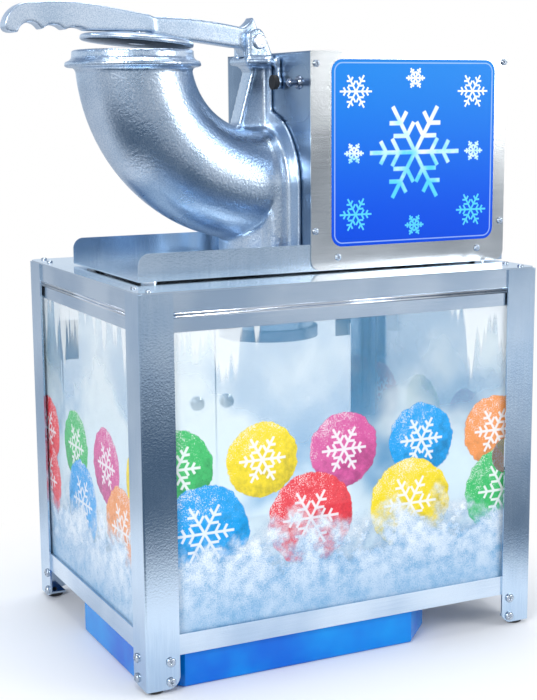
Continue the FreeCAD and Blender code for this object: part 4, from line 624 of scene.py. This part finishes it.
# ------------------------------------------------------------------ hinges, knobs and catch
# Chromed steel: hinge leaves with their pins on the rear legs and the doors, and a turned knob on
# each door. The catch, which both doors close against, is a strip below the rear top rail.
chrome = mottled("bright_chrome", 1.0, ((0.68, 0.70, 0.73), (0.86, 0.88, 0.90)), 80,
                 0.06, 0.1, 300)
finish(chrome, "hinge_leaves", "door_leaves_left", "door_leaves_right", "hinge_pins",
       "door_knob_left", "door_knob_right")
finish(rail_steel_x, "door_catch")

# ------------------------------------------------------------------ melt water tub
# A shallow tub with cut-off corners, moulded from glossy blue plastic. It is pushed in under the
# bottom rails, stands loose on the worktop and catches what drips from the tray.
blue_plastic, place = blank_finish("blue_plastic")
clouds = noise(place, 14, 3.0)
shade(place, {"Base Color": clouds.step(0.3, 0.75).blend((0.0, 0.13, 0.62), (0.0, 0.29, 0.76)),
              "Roughness": noise(place, 40) * 0.12 + 0.12, "Specular IOR Level": 0.3,
              "Normal": bumps(noise(place, 120), 0.0001)})
finish(blue_plastic, "drip_tub")

# ------------------------------------------------------------------ drip tray
# The cabinet's floor, folded from brushed steel sheet. It hangs on the inner walls of the bottom
# rails and drains through a nipple into the tub.
tray_steel = sheet_metal("tray_steel", (0.50, 0.53, 0.57), (0.70, 0.72, 0.75), 0.30, GRAIN_X,
                         brush=0.1)
finish(tray_steel, "floor_tray")

# ------------------------------------------------------------------ roof, washers and pan
# A polished steel roof plate lies on the top rails. Over it, on four bright spacer washers, stands
# the pan, a low channel of galvanised sheet that carries the motor box and the head.
roof_steel = sheet_metal("roof_steel", (0.52, 0.64, 0.76), (0.70, 0.79, 0.88), 0.15, GRAIN_X,
                         peel=0.00002, brush=0.04)
finish(roof_steel, "roof_plate")
finish(chrome, "pan_washers")
finish(leg_steel, "chassis_pan")

# ------------------------------------------------------------------ motor box
# The cover is one sheet of darker steel, folded over the motor: left wall, top and right wall.
# Bright brushed panels close it at the front and the rear, and the rear one has louvres.
box_steel = sheet_metal("box_steel", (0.16, 0.24, 0.35), (0.30, 0.40, 0.53), 0.26, GRAIN_Z,
                        peel=0.00006)
panel_steel = sheet_metal("panel_steel", (0.52, 0.54, 0.55), (0.74, 0.76, 0.76), 0.17, GRAIN_X,
                          peel=0.00002, brush=0.03)
finish(box_steel, "motor_cover")
finish(panel_steel, "front_panel", "rear_panel")

# ------------------------------------------------------------------ film on the front panel
# A satin blue film with rounded corners, glued to the front panel. It is printed with a pale
# border line, one large plain snowflake and eight small ones.
DECAL_LEFT, DECAL_RIGHT, DECAL_LOW, DECAL_HIGH, DECAL_CORNER = 227.0, 417.0, 403.0, 585.0, 12.0
DECAL_THICK, CORNER_POINTS = 0.25, 12
BORDER_IN, BORDER_HALF = 0.0034, 0.0006
# Right of the film's middle, above it, and the reach of a snowflake's arms, in metres.
SMALL_FLAKES = [(x, z, 0.018) for x in (-0.068, 0.068) for z in (-0.060, 0.060)]
SMALL_FLAKES += [(-0.070, 0.0, 0.011), (0.070, 0.0, 0.011),
                 (0.0, -0.073, 0.011), (0.0, 0.073, 0.011)]
decal_ink, place = blank_finish("decal_ink")
middle = at((DECAL_LEFT + DECAL_RIGHT) / 2, 0, (DECAL_LOW + DECAL_HIGH) / 2)
u, v = place.parts()[0] - middle[0], place.parts()[2] - middle[2]
half_width, half_height = (DECAL_RIGHT - DECAL_LEFT) / 2000, (DECAL_HIGH - DECAL_LOW) / 2000
inner = DECAL_CORNER / 1000
# How far in from the rounded edge: the corner's radius less the distance past its middle.
past = [(part.maths("ABSOLUTE") - (half - inner)).maths("MAXIMUM", 0)
        for part, half in ((u, half_width), (v, half_height))]
edge = inner - (past[0] * past[0] + past[1] * past[1]) ** 0.5
border = below((edge - BORDER_IN).maths("ABSOLUTE"), BORDER_HALF, 0.0002)
blue = (v / (2 * half_height) + 0.5).step(0.0, 1.1).blend((0.0, 0.070, 0.66), (0.01, 0.22, 0.68))
drawn = flake(u, v, 0.052, 0.0021)
for x, z, size in SMALL_FLAKES:
    drawn = drawn.maths("MAXIMUM", flake(u - x, v - z, size, 0.0009))
icy = (v / 0.05 * 0.5 + 0.5 + (noise(place, 60, 3.0) - 0.5) * 1.2).step(0.1, 0.9).blend(
    (0.10, 0.62, 0.88), (0.92, 0.98, 1.0))
ink = (border * 0.6).blend(drawn.blend(blue, icy), (0.45, 0.62, 0.92))
shade(place, {"Base Color": ink, "Roughness": noise(place, 35) * 0.1 + 0.30,
              "Specular IOR Level": 0.15, "Normal": bumps(noise(place, 260), 0.00003)})
corner_middles = [(DECAL_LEFT + DECAL_CORNER, DECAL_LOW + DECAL_CORNER),
                  (DECAL_RIGHT - DECAL_CORNER, DECAL_LOW + DECAL_CORNER),
                  (DECAL_RIGHT - DECAL_CORNER, DECAL_HIGH - DECAL_CORNER),
                  (DECAL_LEFT + DECAL_CORNER, DECAL_HIGH - DECAL_CORNER)]
decal_outline = [arc(corner, DECAL_CORNER, math.pi * (1 + quarter / 2),
                     math.pi * (1.5 + quarter / 2), CORNER_POINTS)
                 for quarter, corner in enumerate(corner_middles)]
panel_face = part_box("front_panel")[0].y
panel_depth = 1000 * (panel_face - cabinet_low.y)
slab("front_decal", np.concatenate(decal_outline), panel_depth - DECAL_THICK, panel_depth, 0,
     decal_ink)

# ------------------------------------------------------------------ panel and roof screws
# Small pan head screws of zinc plated steel hold both panels to the cover's flanges, six each, and
# the roof to the rails, two near each corner.
PANEL_HEAD_RADIUS, PANEL_HEAD_HEIGHT = 0.0035, 0.0021
ROOF_HEAD_RADIUS, ROOF_HEAD_HEIGHT = 0.0033, 0.0018
# Right of the cabinet's left face, and up.
PANEL_SCREWS = [(210.2, 580.8), (428.0, 583.0), (209.0, 419.4), (426.7, 420.9), (234.3, 392.8),
                (398.5, 393.7)]
# In from the roof's sides, and from its front and rear edges.
ROOF_SCREWS_IN = [(13.5, 8.4), (10.6, 38.0)]
rear_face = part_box("rear_panel")[1].y
panel_seats = [((at(x, 0, 0)[0], face, z / 1000), (0, way, 0))
               for face, way in ((panel_face, -1), (rear_face, 1)) for x, z in PANEL_SCREWS]
screws("panel_screws", panel_seats, PANEL_HEAD_RADIUS, PANEL_HEAD_HEIGHT, screw_zinc)
roof_seats = [((*at(x, y, 0)[:2], cabinet_high.z), (0, 0, 1))
              for from_side, from_end in ROOF_SCREWS_IN
              for x in (from_side, WIDTH - from_side) for y in (from_end, DEPTH - from_end)]
screws("roof_screws", roof_seats, ROOF_HEAD_RADIUS, ROOF_HEAD_HEIGHT, screw_zinc)

# ------------------------------------------------------------------ switches and cord gland
# Black moulded plastic with a fine texture: the rocker switch and the gland, which sit in the rear
# panel, and the small interlock switch inside the box.
black_plastic = mottled("black_plastic", 0.0, ((0.010, 0.010, 0.011), (0.022, 0.022, 0.024)), 70,
                        0.30, 0.2, 1500, relief=(2200, 0.00002))
finish(black_plastic, "switch_frame_and_body", "rocker", "cord_gland", "interlock_switch")


# ------------------------------------------------------------------ cast head
# Sand cast aluminium with a silver-blue hammer finish: shallow dimples about 2 mm apart. A casting
# has no sharp edges, so it is shown by a copy of its solid with all edges and corners softened.
def softened(node, body, cell, rounds, material, backing=()):
    """A copy of a CAD piece, rebuilt from cells of that size in metres and smoothed in rounds.

    A wall thinner than a cell would be lost, so backing gives boxes that thicken it from within.
    """
    mesh = nodes[node].data.copy()
    shape = bmesh.new()
    shape.from_mesh(mesh)
    bmesh.ops.remove_doubles(shape, verts=shape.verts, dist=1e-6)
    for low, high in backing:
        low, high = Vector(low), Vector(high)
        bmesh.ops.create_cube(shape, size=1.0, matrix=Matrix.Translation((low + high) / 2)
                              @ Matrix.Diagonal((*(high - low), 1.0)))
    shape.to_mesh(mesh)
    shape.free()
    piece = bpy.data.objects.new(node + "_cast", mesh)
    bpy.context.scene.collection.objects.link(piece)
    remesh = piece.modifiers.new("cells", "REMESH")
    remesh.mode, remesh.voxel_size, remesh.use_smooth_shade = "VOXEL", cell, True
    smooth = piece.modifiers.new("soft", "SMOOTH")
    smooth.factor, smooth.iterations = 0.5, rounds
    rebuilt = piece.evaluated_get(bpy.context.evaluated_depsgraph_get())
    piece.data = bpy.data.meshes.new_from_object(rebuilt)
    piece.modifiers.clear()
    piece.data.materials.clear()
    piece.data.materials.append(material)
    piece.data.polygons.foreach_set("use_smooth", [True] * len(piece.data.polygons))
    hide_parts(node)
    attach(piece, body)


def casting(name, roughness, depth):
    """Hammer finish: dimples of a depth in metres, a fine speckle and slow clouds of tone."""
    material, place = blank_finish(name)
    clouds, speckle = noise(place, 16), noise(place, 900)
    tone = (clouds * 0.4 + speckle * 0.6).step(0.35, 0.65)
    shade(place, {"Metallic": 1.0, "Base Color": tone.blend((0.42, 0.55, 0.70), (0.74, 0.82, 0.92)),
                  "Roughness": clouds * 0.08 + (roughness - 0.04),
                  "Normal": bumps(noise(place, 400, 2.5), depth, 0.8)})
    return material


HEAD_CELL, LEVER_CELL = 0.0020, 0.0011
# The drum's wall is thinner than a cell along the two upright front corners of its bore, so a post
# backs each of them, from the drum's foot up to the elbow.
DRUM_MIDDLE, POST_ASIDE, POST_HALF = 155.0, 47.4, 3.4
POST_LEFT, POST_RIGHT, POST_FOOT, POST_TOP = 181.6, 185.8, 381.2, 434.0
posts = [(at(POST_LEFT, y - POST_HALF, POST_FOOT), at(POST_RIGHT, y + POST_HALF, POST_TOP))
         for y in (DRUM_MIDDLE - POST_ASIDE, DRUM_MIDDLE + POST_ASIDE)]
cast_silver = casting("cast_silver", 0.28, 0.00040)
softened("head_casting", "machine", HEAD_CELL, 3, cast_silver, backing=posts)

# ------------------------------------------------------------------ lever and cap
# The lever and the cap that it presses onto the hopper's mouth are cast from the same aluminium,
# with a much shallower hammer finish. A chromed bolt holds the cap under the grip.
lever_silver = casting("lever_silver", 0.30, 0.00008)
softened("lever", "lever", LEVER_CELL, 12, lever_silver)
softened("pusher_cap", "lever", LEVER_CELL, 5, lever_silver)
finish(chrome, "cap_bolt")

# ------------------------------------------------------------------ pivot pin and interlock
# The steel pivot pin goes through the head's ears and the lever, and its head is bright and
# hammered. The interlock's plunger and its bushing in the box's left wall are darker steel.
pin_steel = mottled("pin_steel", 1.0, ((0.55, 0.59, 0.66), (0.90, 0.92, 0.95)), 700,
                    0.2, 0.2, 700, relief=(700, 0.0003))
dark_steel = mottled("dark_steel", 1.0, ((0.16, 0.19, 0.26), (0.34, 0.39, 0.48)), 200,
                     0.15, 0.15, 500)
finish(pin_steel, "pivot_pin")
finish(dark_steel, "interlock_plunger", "plunger_bushing")

# ------------------------------------------------------------------ blades, shaft and motor
# A disc with three blades turns on the motor's shaft, which two bearings carry, all ground bright.
# The motor behind them and its mount are painted nearly black.
blade_steel = sheet_metal("blade_steel", (0.58, 0.60, 0.63), (0.76, 0.78, 0.80), 0.16,
                          (1, 1, 0.1), peel=0.00001, brush=0.05)
motor_paint = mottled("motor_paint", 0.0, ((0.03, 0.035, 0.04), (0.06, 0.065, 0.07)), 40,
                      0.35, 0.2, 300, relief=(900, 0.00006))
finish(blade_steel, "blade_disc", "blades", "drive_shaft", "shaft_bearings")
finish(motor_paint, "motor_housing", "motor_mount")

# ------------------------------------------------------------------ snow chamber and chute
# The cast snow chamber behind the drum turns the shaved ice down into the chute, a short duct of
# rail steel through the roof. A collar ring of dark steel holds the chute's lower end.
finish(cast_silver, "snow_chamber")
finish(rail_steel_x, "discharge_chute")
finish(dark_steel, "chute_ring")
